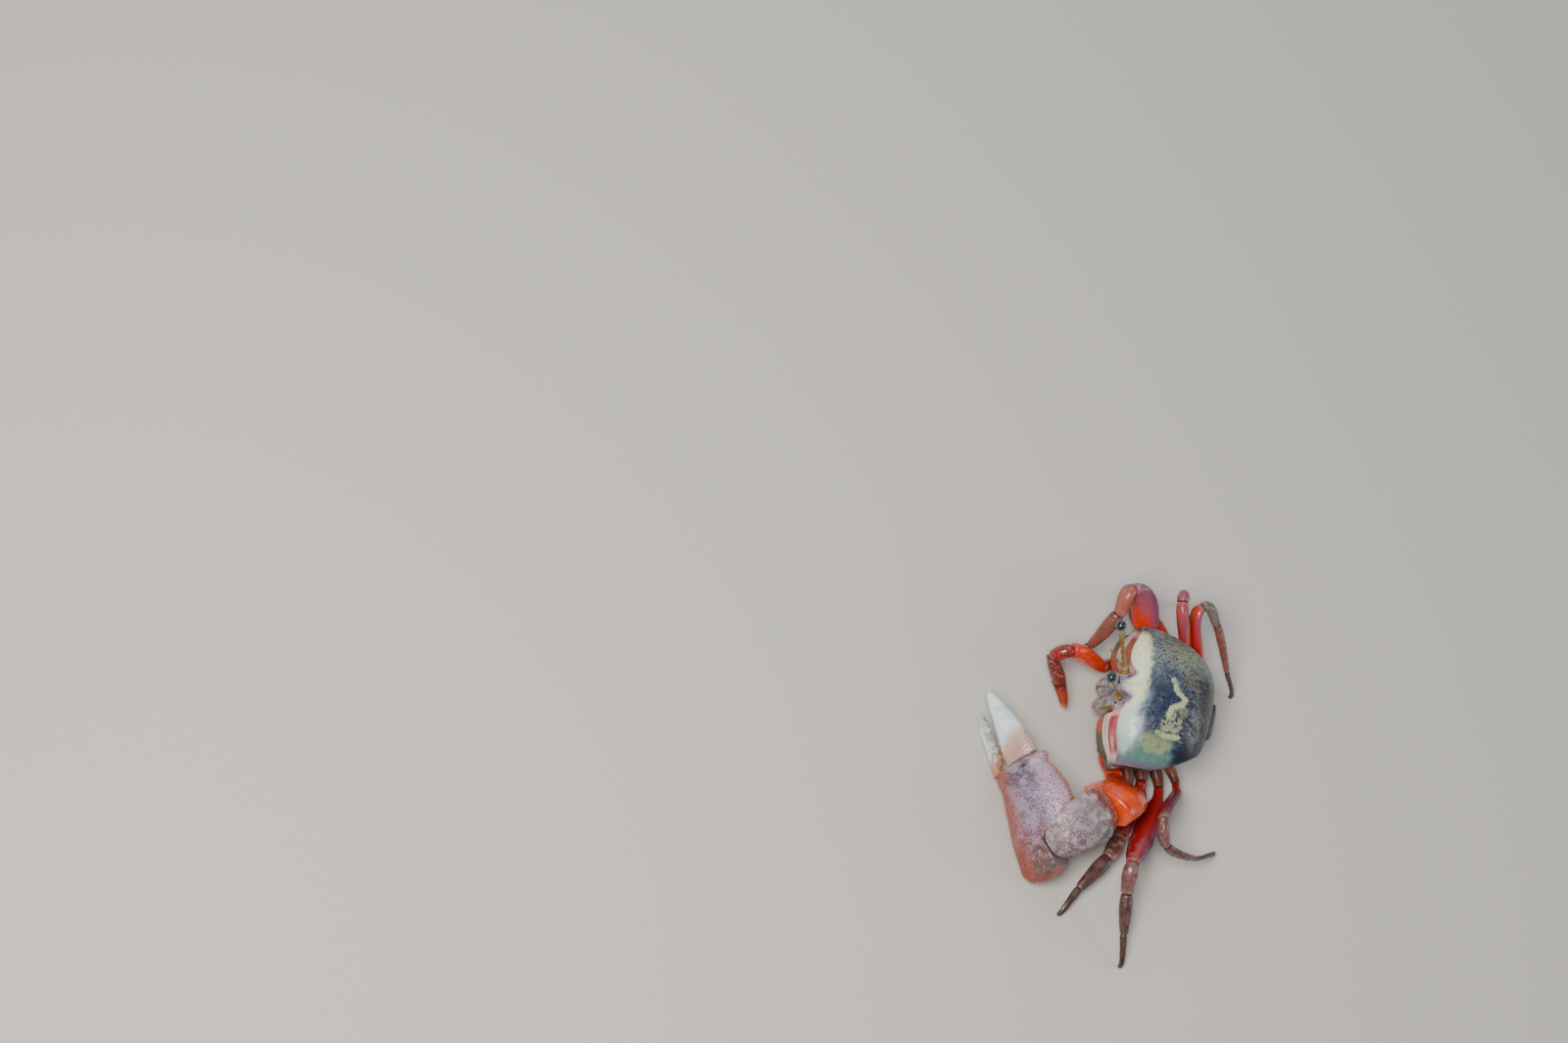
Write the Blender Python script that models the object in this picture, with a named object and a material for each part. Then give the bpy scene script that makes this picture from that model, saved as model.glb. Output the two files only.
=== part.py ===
"""Male narrow-fronted fiddler crab, still and life-size: one closed solid for each part of the body.

Lengths are in millimetres in the body's own frame: the crab faces -Y, its left is +X, its back is +Z,
and (0, 0, 0) is the middle of the body. The meshes are written in metres and then shifted together,
so that the feet stand on z = 0 under the middle of the whole model.
"""

import math
import random

import bmesh
import bpy
from mathutils import Matrix, Vector

# ---------------------------------------------------------------- driving sizes, in millimetres
MM = 0.001
GAP = 0.3  # between two parts that meet face to face
FLOOR = -14.2  # the level that the feet stand on

HALF_BREADTH = 15.0  # of the carapace, at its front corners
FRONT_TIP = -9.7  # y of the narrow front between the eyestalks
REAR_EDGE = 10.6  # y of the carapace's rear margin
DOME_TOP = 4.5  # z of the highest point of the back
SIDE_DROP = 6.5  # how far the back falls to its front corners
FRONT_DROP = 4.6  # how far it falls to the front
REAR_DROP = 4.5  # how far it falls to the rear margin
SHELL_BOTTOM = -9.0  # z where the carapace's walls end
MOUTH_HALF_WIDTH = 4.6
MOUTH_WALL = -8.7  # y of the wall behind the mouthparts
STERNUM_BOTTOM = -11.6
COXA_LEVEL = -10.9  # z of the hip joints

EYE_DIAMETER = 2.1
STALK_LENGTH = 10.3
STALK_SLIM = 0.85  # thickness of the eyestalk at its middle

MERUS_WIDTH = (5.3, 5.4, 4.8, 4.0)  # of walking legs 1 to 4
MERUS_THICKNESS = (2.7, 2.7, 2.6, 2.2)
FOOT_FLAT = 0.9  # width of the flat on which a leg's tip stands

random.seed(7)


# ---------------------------------------------------------------- curves and closed bodies
def spline(stops, t):
    """Smooth curve through (t, value) stops; a value is a number or a Vector."""
    if t <= stops[0][0]:
        return stops[0][1]
    if t >= stops[-1][0]:
        return stops[-1][1]
    i = max(k for k in range(len(stops) - 1) if stops[k][0] <= t)
    t0, p0 = stops[i]
    t1, p1 = stops[i + 1]
    before_t, before = stops[max(i - 1, 0)]
    after_t, after = stops[min(i + 2, len(stops) - 1)]
    slope0 = (p1 - before) / (t1 - before_t)
    slope1 = (after - p0) / (after_t - t0)
    span = t1 - t0
    u = (t - t0) / span
    rise = p0 * (2 * u**3 - 3 * u**2 + 1) + p1 * (3 * u**2 - 2 * u**3)
    return rise + (slope0 * (u**3 - 2 * u**2 + u) + slope1 * (u**3 - u**2)) * span


def smooth(low, high, value):
    """0 below low, 1 above high, and an even rise between them."""
    t = min(max((value - low) / (high - low), 0.0), 1.0)
    return t * t * (3 - 2 * t)


def finish(name, color, roughness):
    """A coat of paint: the part's colour (sRGB hex) and its roughness."""
    material = bpy.data.materials.get(name) or bpy.data.materials.new(name)
    material.use_nodes = True
    shader = material.node_tree.nodes["Principled BSDF"]
    channels = [int(color[k : k + 2], 16) / 255 for k in (1, 3, 5)]
    linear = [c / 12.92 if c <= 0.04045 else ((c + 0.055) / 1.055) ** 2.4 for c in channels]
    shader.inputs["Base Color"].default_value = (*linear, 1.0)
    shader.inputs["Roughness"].default_value = roughness
    shader.inputs["Metallic"].default_value = 0.0
    return material


def solid(name, rings, material):
    """A closed body through rings of equal counts; a ring of one point closes an end in a tip."""
    bm = bmesh.new()
    loops = [[bm.verts.new(p * MM) for p in ring] for ring in rings]
    for low, high in zip(loops, loops[1:]):
        count = max(len(low), len(high))
        for k in range(count):
            corners = [low[k % len(low)], low[(k + 1) % len(low)]]
            corners += [high[(k + 1) % len(high)], high[k % len(high)]]
            bm.faces.new(list(dict.fromkeys(corners)))
    for loop in (loops[0], loops[-1]):
        if len(loop) > 2:
            bm.faces.new(loop)
    bmesh.ops.triangulate(bm, faces=bm.faces[:], ngon_method="BEAUTY")
    bmesh.ops.recalc_face_normals(bm, faces=bm.faces[:])
    mesh = bpy.data.meshes.new(name)
    bm.to_mesh(mesh)
    bm.free()
    mesh.materials.append(material)
    mesh.shade_smooth()
    obj = bpy.data.objects.new(name, mesh)
    bpy.context.collection.objects.link(obj)
    return obj


def join(body, pieces):
    """Unites closed pieces with the body they grow from and keeps its one outer surface."""
    group = bpy.data.collections.new(body.name + "_pieces")
    for piece in pieces:
        group.objects.link(piece)
    union = body.modifiers.new("union", "BOOLEAN")
    union.operation = "UNION"
    union.operand_type = "COLLECTION"
    union.collection = group
    union.solver = "EXACT"
    depsgraph = bpy.context.evaluated_depsgraph_get()
    mesh = bpy.data.meshes.new_from_object(body.evaluated_get(depsgraph))
    body.modifiers.clear()
    body.data = mesh
    for piece in pieces:
        bpy.data.objects.remove(piece)
    bpy.data.collections.remove(group)
    bm = bmesh.new()
    bm.from_mesh(mesh)
    bmesh.ops.triangulate(bm, faces=bm.faces[:])
    bm.to_mesh(mesh)
    bm.free()


def cut(obj, point, normal):
    """Cuts away what lies beyond a plane and closes the cut."""
    bm = bmesh.new()
    bm.from_mesh(obj.data)
    geometry = bm.verts[:] + bm.edges[:] + bm.faces[:]
    sliced = bmesh.ops.bisect_plane(
        bm, geom=geometry, plane_co=point * MM, plane_no=normal, dist=1e-7, clear_outer=True
    )
    rim = [e for e in sliced["geom_cut"] if isinstance(e, bmesh.types.BMEdge)]
    bmesh.ops.contextual_create(bm, geom=rim)
    bmesh.ops.triangulate(bm, faces=bm.faces[:])
    bmesh.ops.recalc_face_normals(bm, faces=bm.faces[:])
    bm.to_mesh(obj.data)
    bm.free()


def article(name, ends, normals, broad, widths, thicknesses, material, sides=10, rings=7, swing=1.0,
            end_gaps=(GAP / 2, GAP / 2)):
    """One length of a limb, swept between two joints.

    It leaves and meets the joints' planes squarely, half a gap short of them. `broad` is the direction
    of its width; widths and thicknesses are stops along it, and swing is how boldly it bends.
    """
    start = ends[0] + normals[0] * end_gaps[0]
    end = ends[1] - normals[1] * end_gaps[1]
    reach = (end - start).length * swing
    axis = normals[0]
    wide = (broad - axis * broad.dot(axis)).normalized()
    loops = []
    for r in range(rings):
        t = r / (rings - 1)
        centre = start * (2 * t**3 - 3 * t**2 + 1) + end * (3 * t**2 - 2 * t**3)
        centre = centre + normals[0] * reach * (t**3 - 2 * t**2 + t) + normals[1] * reach * (t**3 - t**2)
        along = (start - end) * (6 * t**2 - 6 * t)
        along = along + normals[0] * reach * (3 * t**2 - 4 * t + 1) + normals[1] * reach * (3 * t**2 - 2 * t)
        along.normalize()
        wide = (wide - along * wide.dot(along)).normalized()
        thin = along.cross(wide)
        half_wide = spline(widths, t) / 2
        half_thin = spline(thicknesses, t) / 2
        loop = []
        for k in range(sides):
            angle = 2 * math.pi * (k + 0.5) / sides
            loop.append(centre + wide * math.cos(angle) * half_wide + thin * math.sin(angle) * half_thin)
        loops.append(loop)
    return solid(name, loops, material)


# ---------------------------------------------------------------- carapace
# Half of its margin seen from above, from the middle of the front round to the middle of the rear.
MARGIN = (
    (0.00, Vector((0.0, FRONT_TIP))),
    (0.04, Vector((1.0, FRONT_TIP + 0.3))),
    (0.09, Vector((1.7, -8.4))),  # side of the front
    (0.14, Vector((2.6, -7.8))),  # notch of the eyestalk
    (0.20, Vector((4.2, -8.5))),
    (0.27, Vector((6.2, -8.9))),
    (0.34, Vector((8.6, -8.6))),  # upper edge of the orbit
    (0.42, Vector((11.4, -7.6))),
    (0.48, Vector((13.6, -6.6))),
    (0.52, Vector((HALF_BREADTH, -6.1))),  # front corner
    (0.56, Vector((14.9, -4.6))),
    (0.63, Vector((14.7, -1.8))),
    (0.70, Vector((14.1, 1.2))),
    (0.78, Vector((12.4, 4.6))),
    (0.86, Vector((9.8, 8.0))),
    (0.92, Vector((7.2, 10.0))),  # rear corner
    (1.00, Vector((0.0, REAR_EDGE))),
)
# Below the margin: share of the way down, and how far the wall stands in from the margin,
# at the orbits and cheeks (front) and at the flanks and rear.
WALL = (
    (0.05, 0.45, 0.10),
    (0.14, 1.30, 0.15),
    (0.23, 1.50, 0.25),  # floor of the orbit
    (0.31, 0.30, 0.40),
    (0.36, -0.35, 0.60),  # lip under the orbit
    (0.52, -0.55, 1.20),
    (0.72, -0.20, 2.40),  # cheek
    (0.88, 1.10, 3.70),
    (1.00, 2.90, 5.00),
)


CHEEK_SWELL = 1.6  # how far the cheeks under the orbits bulge forward


def dome(x, y):
    """Height of the carapace's back over a point of its plan."""
    side = SIDE_DROP * (abs(x) / HALF_BREADTH) ** 2.6
    front = FRONT_DROP * (max(0.0, -y - 1.0) / (-FRONT_TIP - 1.0)) ** 2.4
    rear = REAR_DROP * (max(0.0, y) / REAR_EDGE) ** 3
    return DOME_TOP - side - front - rear - furrows(abs(x), y)


def furrows(x, y):
    """Depth of the shallow grooves that part the regions of the back."""
    branchial = 0.35 * math.exp(-(((x - 4.6 - 0.10 * (y - 1) ** 2 * 0.3) / 0.9) ** 2))
    branchial *= smooth(-4.5, -2.5, y) * (1 - smooth(6.0, 8.5, y))
    gastric = 0.22 * math.exp(-(((y - 2.6) / 0.8) ** 2)) * (1 - smooth(3.5, 6.0, x))
    return branchial + gastric


def margin(u):
    """Point of the half margin, its height, and the direction into the body, in plan."""
    here = spline(MARGIN, u)
    ahead = spline(MARGIN, min(u + 0.02, 1.0))
    behind = spline(MARGIN, max(u - 0.02, 0.0))
    along = (ahead - behind).normalized()
    return here, Vector((-along.y, along.x))


def wall_point(u, share, front_inset, flank_inset):
    """Point of the wall under the margin."""
    here, inward = margin(u)
    inward.x *= smooth(0.12, 0.30, u)
    inward = inward.lerp(-here.normalized(), smooth(0.36, 0.60, share))
    orbit = smooth(0.10, 0.17, u) * (1 - smooth(0.47, 0.53, u))
    nose = 1 - smooth(0.06, 0.12, u)
    cheek = 1 - smooth(0.49, 0.62, u)
    low = smooth(0.28, 0.36, share)
    front = max(orbit * (1 - low), cheek * low)
    inset = (front_inset * front + flank_inset * (1 - front)) * (1 - nose * (1 - low))
    swell = smooth(0.18, 0.26, u) * (1 - smooth(0.38, 0.49, u))
    inset -= CHEEK_SWELL * math.exp(-(((share - 0.62) / 0.2) ** 2)) * swell
    top = dome(here.x, here.y)
    under = nose * (1 - low) * smooth(0.06, 0.16, share)
    x = here.x + inward.x * inset
    y = here.y + inward.y * inset + 1.5 * under
    if share > 0.34:
        beside = smooth(MOUTH_HALF_WIDTH - 0.2, MOUTH_HALF_WIDTH + 0.9, abs(x))
        y = max(y, MOUTH_WALL) * (1 - beside) + y * beside
    return Vector((max(x, 0.0), y, top + (SHELL_BOTTOM - top) * share))


def whole_ring(half):
    """A closed ring from its left half, front middle to rear middle."""
    right = [Vector((-p.x, p.y, p.z)) for p in half[-2:0:-1]]
    return half + right


def carapace(material, steps=30):
    shares = [k / steps for k in range(steps + 1)]
    rings = [[Vector((0, 0, dome(0, 0)))]]
    for reach in (0.16, 0.32, 0.48, 0.63, 0.77, 0.89, 0.97, 1.0):
        half = []
        for u in shares:
            edge = spline(MARGIN, u) * reach
            half.append(Vector((max(edge.x, 0.0), edge.y, dome(edge.x, edge.y))))
        rings.append(whole_ring(half))
    for share, front_inset, flank_inset in WALL:
        rings.append(whole_ring([wall_point(u, share, front_inset, flank_inset) for u in shares]))
    return solid("carapace", rings, material)


# ---------------------------------------------------------------- limbs' joints
def at(x, y, z):
    return Vector((x, y, z))


UP = Vector((0, 0, 1))
FORE_AFT = Vector((0, 0.93, 0.36))  # lie of a merus that shows its broad face from above
SLANTED = Vector((0, 0.45, 0.89))
LEVEL = Vector((0, 1.0, 0.1))
ON_EDGE = Vector((1.0, 0, 0.4))
# Walking legs, front to rear: hip, knee, wrist, ankle and tip, and the direction of their breadth.
RIGHT_LEGS = (
    (at(-12.6, -1.6, COXA_LEVEL), at(-19.4, -11.7, 1.2), at(-14.8, -12.4, -2.0),
     at(-9.4, -14.2, -8.8), at(-7.2, -17.6, FLOOR), FORE_AFT),
    (at(-13.0, 3.8, COXA_LEVEL), at(-21.4, -6.4, -9.2), at(-24.2, -6.0, -11.2),
     at(-22.6, -1.4, -12.5), at(-20.8, 2.4, FLOOR), LEVEL),
    (at(-13.0, 7.0, COXA_LEVEL), at(-19.3, -2.0, 3.9), at(-22.0, -0.2, 0.0),
     at(-24.3, 2.5, -7.2), at(-27.1, 5.4, FLOOR), ON_EDGE),
    (at(-10.8, 10.6, COXA_LEVEL), at(-21.4, 3.7, 0.8), at(-20.4, 8.6, -2.0),
     at(-14.6, 15.4, -8.1), at(-12.6, 19.8, FLOOR), ON_EDGE),
)
LEFT_LEGS = (
    (at(15.0, 0.4, -11.4), at(24.0, -9.0, -12.4), at(28.6, -10.4, -12.3),
     at(33.8, -10.6, -12.5), at(36.4, -11.2, FLOOR), LEVEL),
    (at(13.0, 3.3, COXA_LEVEL), at(25.9, 1.4, -11.6), at(31.0, -0.6, -10.6),
     at(38.7, -4.7, -11.8), at(44.2, -6.8, FLOOR), LEVEL),
    (at(13.0, 7.2, COXA_LEVEL), at(33.1, 2.0, -3.9), at(38.2, 3.4, -7.0),
     at(45.0, 5.9, -10.4), at(50.0, 8.0, FLOOR), FORE_AFT),
    (at(10.8, 10.6, COXA_LEVEL), at(22.9, 5.6, -1.9), at(26.9, 8.3, -3.9),
     at(25.0, 17.0, -9.3), at(20.6, 22.7, FLOOR), SLANTED),
)
LEG_ROOTS = ((7.0, -2.6), (7.2, 0.8), (7.0, 4.2), (6.0, 6.8))  # plan of the inner end of each hip


def joint_normal(before, joint, after, share=0.5):
    """Normal of the plane that parts two lengths of a limb; share is the part of the bend it takes."""
    into = (joint - before).normalized()
    out = (after - joint).normalized()
    return (into * (1 - share) + out * share).normalized()


def leg(side, number, joints, materials):
    """Merus, carpus, propodus and dactyl of one walking leg; the knee bends in its short carpus."""
    hip_joint, knee, wrist, ankle, tip, broad = joints
    root = hip_root(side, number)
    at_hip = joint_normal(root, hip_joint, knee)
    bend = (knee - hip_joint).angle(wrist - knee)
    at_knee = joint_normal(hip_joint, knee, wrist, 0.2 + 0.3 * smooth(1.0, 2.2, bend))
    at_wrist = joint_normal(knee, wrist, ankle, 0.6)
    at_ankle = joint_normal(wrist, ankle, tip)
    down = Vector((0, 0, -1))
    wide = MERUS_WIDTH[number - 1]
    thick = MERUS_THICKNESS[number - 1]
    name = f"leg_{side}_{number}_"
    article(
        name + "merus", (hip_joint, knee), (at_hip, at_knee), broad,
        ((0, 0.42 * wide), (0.13, 0.44 * wide), (0.25, 0.74 * wide), (0.5, wide), (0.8, 0.90 * wide),
         (1, 0.60 * wide)),
        ((0, 0.72 * thick), (0.14, 0.70 * thick), (0.3, 0.85 * thick), (0.6, thick), (1, 0.9 * thick)),
        materials["merus"], sides=10, rings=9, swing=0.7,
    )
    article(
        name + "carpus", (knee, wrist), (at_knee, at_wrist), broad,
        ((0, 0.58 * wide), (0.4, 0.66 * wide), (1, 0.52 * wide)),
        ((0, 0.88 * thick), (0.5, 0.98 * thick), (1, 0.80 * thick)),
        materials["carpus"], sides=10, rings=6, swing=1.1,
    )
    article(
        name + "propodus", (wrist, ankle), (at_wrist, at_ankle), broad,
        ((0, 0.50 * wide), (0.35, 0.56 * wide), (1, 0.34 * wide)),
        ((0, 0.78 * thick), (0.4, 0.78 * thick), (1, 0.52 * thick)),
        materials["propodus"], sides=8, rings=6, swing=0.8,
    )
    article(
        name + "dactyl", (ankle, tip), (at_ankle, down), broad,
        ((0, 0.32 * wide), (0.4, 0.27 * wide), (1, FOOT_FLAT)),
        ((0, 0.50 * thick), (0.4, 0.42 * thick), (1, FOOT_FLAT)),
        materials["dactyl"], sides=8, rings=5, swing=0.8, end_gaps=(GAP / 2, 0.0),
    )


def hip_root(side, number):
    """Inner end of a leg's hip, inside the breastplate."""
    x, y = LEG_ROOTS[number - 1]
    return at(x if side == "left" else -x, y, COXA_LEVEL)


# ---------------------------------------------------------------- large claw, on the left
CLAW_HIP = at(10.0, -5.6, COXA_LEVEL)
CLAW_ISCHIUM_END = at(14.6, -2.8, -10.1)
CLAW_ELBOW = at(25.0, -6.4, -2.2)
CLAW_WRIST = at(29.1, -16.0, -3.9)
CLAW_LONG = Vector((-0.781, -0.604, -0.160)).normalized()  # from the wrist to the fingertips
CLAW_HIGH = Vector((-0.417, 0.313, 0.854))
CLAW_HIGH = (CLAW_HIGH - CLAW_LONG * CLAW_HIGH.dot(CLAW_LONG)).normalized()  # lower to upper margin
CLAW_OUT = CLAW_HIGH.cross(CLAW_LONG)  # out of the outer face
HEEL_END = -10.0  # where the hand begins, measured along CLAW_LONG from the wrist
PALM_START = -2.6  # where the palm rises in front of the carpus
HEEL_TOP = -3.4  # level of the heel's flat top under the carpus
PALM_SLOPE = 2.41  # rise of the palm's flat rear face along the hand
FINGER_START = 12.2  # where the movable finger begins
POLLEX_TIP = 25.0
# Margins of the hand: place along it, height over the wrist.
HAND_UPPER = (
    (HEEL_END, -4.2), (-9.4, -2.2), (-8.0, 0.2), (-5.2, 2.4), (-2.6, 3.8), (0.4, 4.7), (2.8, 4.9),
    (6.0, 4.7), (10.0, 3.7), (FINGER_START, 2.9), (12.35, -5.0), (15.6, -4.8), (20.0, -4.3),
    (23.6, -4.0), (POLLEX_TIP, -4.1),
)
HAND_LOWER = (
    (HEEL_END, -7.8), (-9.4, -9.9), (-8.6, -11.3), (-7.0, -12.2), (-4.0, -11.7), (0.0, -10.6),
    (5.0, -8.9), (9.0, -7.8), (12.5, -7.6), (16.0, -7.2), (20.0, -6.6), (23.6, -5.7), (POLLEX_TIP, -5.1),
)
HAND_THICKNESS = (
    (HEEL_END, 2.0), (-9.0, 4.6), (-6.0, 6.2), (-2.0, 7.6), (3.0, 8.2), (8.0, 7.4), (12.2, 5.6),
    (12.6, 3.6), (18.0, 2.8), (23.0, 1.9), (POLLEX_TIP, 1.0),
)
TOOTH_STEP = 0.7
DACTYL_UPPER = ((0.0, 2.7), (2.0, 2.9), (5.0, 2.6), (9.0, 1.8), (12.4, 0.9), (14.9, 0.0))
DACTYL_LOWER = ((0.0, -4.5), (2.8, -4.1), (6.0, -3.4), (9.4, -2.7), (12.4, -2.1), (14.9, -1.5))
DACTYL_THICKNESS = ((0.0, 3.8), (2.0, 3.7), (6.0, 3.2), (12.0, 2.2), (14.9, 0.9))


def claw(along, height, out):
    """Point of the large claw, from its own three directions."""
    return CLAW_WRIST + CLAW_LONG * along + CLAW_HIGH * height + CLAW_OUT * out


def seat(along):
    """How high the hand may reach at a place along it, under and in front of the carpus."""
    return max(HEEL_TOP, -1.4 + PALM_SLOPE * (along - PALM_START))


def claw_section(along, low, high, thickness, sides, flat=2.4):
    """Ring round the hand or a finger: a flattened oval between its margins, cut flat under its seat."""
    ring = []
    for k in range(sides):
        angle = 2 * math.pi * k / sides
        c = math.cos(angle)
        s = math.sin(angle)
        h = math.copysign(abs(c) ** (2 / flat), c) * (high - low) / 2 + (high + low) / 2
        h = min(h, seat(along))
        n = math.copysign(abs(s) ** (2 / flat), s) * thickness / 2
        ring.append(claw(along, h, n))
    return ring


def teeth(start, count):
    """Places of the teeth along a finger's cutting edge and how far each stands out: tooth, gap, tooth."""
    rows = []
    for k in range(count):
        height = random.uniform(0.25, 0.5) if k % 2 else 0.0
        rows.append((start + k * TOOTH_STEP, height))
    return rows


def big_hand(material):
    plain = [HEEL_END, -9.7, -8.9, -7.4, -5.6, -3.43, PALM_START, -1.2, 0.2, 2.0, 4.0, 6.5, 9.0, 10.8,
             FINGER_START, 12.35]
    places = [(place, 0.0) for place in plain]
    places += teeth(13.6, 15)
    places += [(24.3, 0.0), (POLLEX_TIP, 0.0)]
    rings = []
    for place, tooth in places:
        low = spline(HAND_LOWER, place)
        high = spline(HAND_UPPER, place) + tooth
        rings.append(claw_section(place, low, high, spline(HAND_THICKNESS, place), 16))
    return solid("claw_major_manus", rings, material)


def big_dactyl(material):
    places = [(0.0, 0.0), (0.8, 0.0)]
    places += teeth(1.6, 17)
    places += [(13.6, 0.0), (14.4, 0.0), (14.9, 0.0)]
    rings = []
    for place, tooth in places:
        low = spline(DACTYL_LOWER, place) - tooth
        high = spline(DACTYL_UPPER, place)
        along = FINGER_START + GAP + 0.25 + place
        rings.append(claw_section(along, low, high, spline(DACTYL_THICKNESS, place), 12, flat=2.1))
    return solid("claw_major_dactyl", rings, material)


def big_carpus(material):
    """A rounded block between the arm and the hand, cut flat where it meets them."""
    centre = at(28.6, -11.3, -3.15)
    to_hand = Vector((0.66, -0.75, 0.0)).normalized()
    back = Vector((0.75, 0.66, -0.12)).normalized()
    top = to_hand.cross(back)
    if top.z < 0:
        top = -top
    rings = []
    steps, sides = 10, 16
    for r in range(1, steps):
        lift = math.cos(math.pi * r / steps)
        reach = math.sin(math.pi * r / steps) ** 0.8
        ring = []
        for k in range(sides):
            angle = 2 * math.pi * k / sides
            full = 0.8 - 0.35 * max(0.0, math.cos(angle - math.pi / 4))  # squarer over the heel
            a = math.copysign(abs(math.cos(angle)) ** full, math.cos(angle)) * reach
            b = math.copysign(abs(math.sin(angle)) ** full, math.sin(angle)) * reach
            ring.append(centre + to_hand * a * 7.8 + back * b * 6.2 + top * lift * 5.4)
        rings.append(ring)
    rings.insert(0, [centre + top * 5.4])
    rings.append([centre - top * 5.4])
    block = solid("claw_major_carpus", rings, material)
    cut(block, claw(PALM_START - GAP, -1.4, 0), (CLAW_LONG * 0.923 - CLAW_HIGH * 0.383).normalized())
    cut(block, claw(0, -3.1, 0), -CLAW_HIGH)
    elbow = elbow_normal()
    cut(block, CLAW_ELBOW + elbow * GAP / 2, -elbow)
    return block


def elbow_normal():
    """Normal of the plane between the large claw's arm and its carpus, out of the arm."""
    return Vector((0.80, -0.56, 0.20)).normalized()


def big_arm(materials):
    """Ischium and merus of the large claw."""
    root = at(6.0, -5.4, COXA_LEVEL)
    at_hip = joint_normal(root, CLAW_HIP, CLAW_ISCHIUM_END)
    at_ischium = joint_normal(CLAW_HIP, CLAW_ISCHIUM_END, CLAW_ELBOW)
    article(
        "claw_major_ischium", (CLAW_HIP, CLAW_ISCHIUM_END), (at_hip, at_ischium), Vector((0, 1, 0)),
        ((0, 2.8), (0.5, 3.3), (1, 3.6)), ((0, 2.6), (0.5, 2.9), (1, 3.0)),
        materials["ischium"], sides=12, rings=4,
    )
    article(
        "claw_major_merus", (CLAW_ISCHIUM_END, CLAW_ELBOW), (at_ischium, elbow_normal()),
        Vector((0.2, 1, 0.35)),
        ((0, 3.4), (0.12, 5.4), (0.35, 10.8), (0.6, 12.4), (1, 10.8)),
        ((0, 2.9), (0.12, 3.2), (0.35, 4.6), (0.7, 7.0), (1, 7.2)),
        materials["merus"], sides=14, rings=9,
    )


# ---------------------------------------------------------------- small claw, on the right
SMALL_HIP = at(-8.2, -7.2, COXA_LEVEL)
SMALL_ISCHIUM_END = at(-6.5, -10.4, -9.6)
SMALL_ELBOW = at(-4.4, -19.9, -3.2)
SMALL_WRIST = at(-2.6, -22.4, -5.6)
SMALL_KNUCKLE = at(0.6, -19.6, -9.4)
SMALL_TIP = at(3.6, -15.6, -11.6)


def small_claw(materials):
    root = at(-6.0, -5.4, COXA_LEVEL)
    normals = [
        joint_normal(root, SMALL_HIP, SMALL_ISCHIUM_END),
        joint_normal(SMALL_HIP, SMALL_ISCHIUM_END, SMALL_ELBOW),
        joint_normal(SMALL_ISCHIUM_END, SMALL_ELBOW, SMALL_WRIST),
        joint_normal(SMALL_ELBOW, SMALL_WRIST, SMALL_KNUCKLE),
    ]
    article(
        "claw_minor_ischium", (SMALL_HIP, SMALL_ISCHIUM_END), normals[0:2], UP,
        ((0, 2.2), (1, 2.5)), ((0, 2.2), (1, 2.4)), materials["ischium"], sides=10, rings=3,
    )
    article(
        "claw_minor_merus", (SMALL_ISCHIUM_END, SMALL_ELBOW), normals[1:3], UP,
        ((0, 2.5), (0.3, 3.7), (0.7, 4.1), (1, 3.5)), ((0, 2.4), (0.5, 3.3), (1, 3.0)),
        materials["merus"], sides=10, rings=6, swing=0.5,
    )
    article(
        "claw_minor_carpus", (SMALL_ELBOW, SMALL_WRIST), normals[2:4], UP,
        ((0, 3.0), (0.5, 3.3), (1, 2.9)), ((0, 2.7), (0.5, 3.0), (1, 2.6)),
        materials["carpus"], sides=10, rings=4,
    )
    small_hand(materials, normals[3])


def small_hand(materials, at_wrist):
    """Palm with its fixed finger, and the movable finger beside it, like two small spoons."""
    axis = (SMALL_TIP - SMALL_WRIST).normalized()
    high = (UP - axis * UP.dot(axis)).normalized()
    thin = axis.cross(high)
    length = (SMALL_TIP - SMALL_WRIST).length
    palm_end = 0.48
    stops_high = (
        (0, 1.30), (0.2, 1.75), (0.45, 1.70), (palm_end, 1.50), (0.53, -0.25), (0.8, -0.15), (1, -0.25),
    )
    stops_low = ((0, -1.40), (0.2, -1.75), (0.5, -1.55), (0.8, -1.05), (1, -0.75))
    stops_thick = ((0, 2.2), (0.25, 2.6), (0.5, 2.1), (0.6, 1.4), (1, 0.7))
    rings = []
    for t in (0, 0.1, 0.22, 0.36, palm_end, 0.53, 0.62, 0.74, 0.88, 1.0):
        low = spline(stops_low, t)
        top = spline(stops_high, t)
        half = spline(stops_thick, t) / 2
        ring = []
        for k in range(10):
            angle = 2 * math.pi * k / 10
            offset = high * ((top + low) / 2 + (top - low) / 2 * math.cos(angle))
            offset += thin * half * math.sin(angle)
            near = (GAP / 2 - offset.dot(at_wrist)) / axis.dot(at_wrist)
            ring.append(SMALL_WRIST + offset + axis * (near * (1 - t) + length * t))
        rings.append(ring)
    solid("claw_minor_manus", rings, materials["manus"])
    rings = []
    for t in (0.0, 0.15, 0.35, 0.6, 0.85, 1.0):
        low = 0.12 - 0.05 * t
        top = spline(((0, 1.45), (0.3, 1.5), (0.7, 1.15), (1, 0.45)), t)
        half = spline(((0, 1.9), (0.4, 1.5), (1, 0.7)), t) / 2
        along = length * (palm_end + 0.055) + GAP + (length * (0.98 - palm_end) - GAP) * t
        ring = []
        for k in range(10):
            angle = 2 * math.pi * k / 10
            offset = high * ((top + low) / 2 + (top - low) / 2 * math.cos(angle))
            ring.append(SMALL_WRIST + axis * along + offset + thin * half * math.sin(angle))
        rings.append(ring)
    solid("claw_minor_dactyl", rings, materials["dactyl"])


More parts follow.
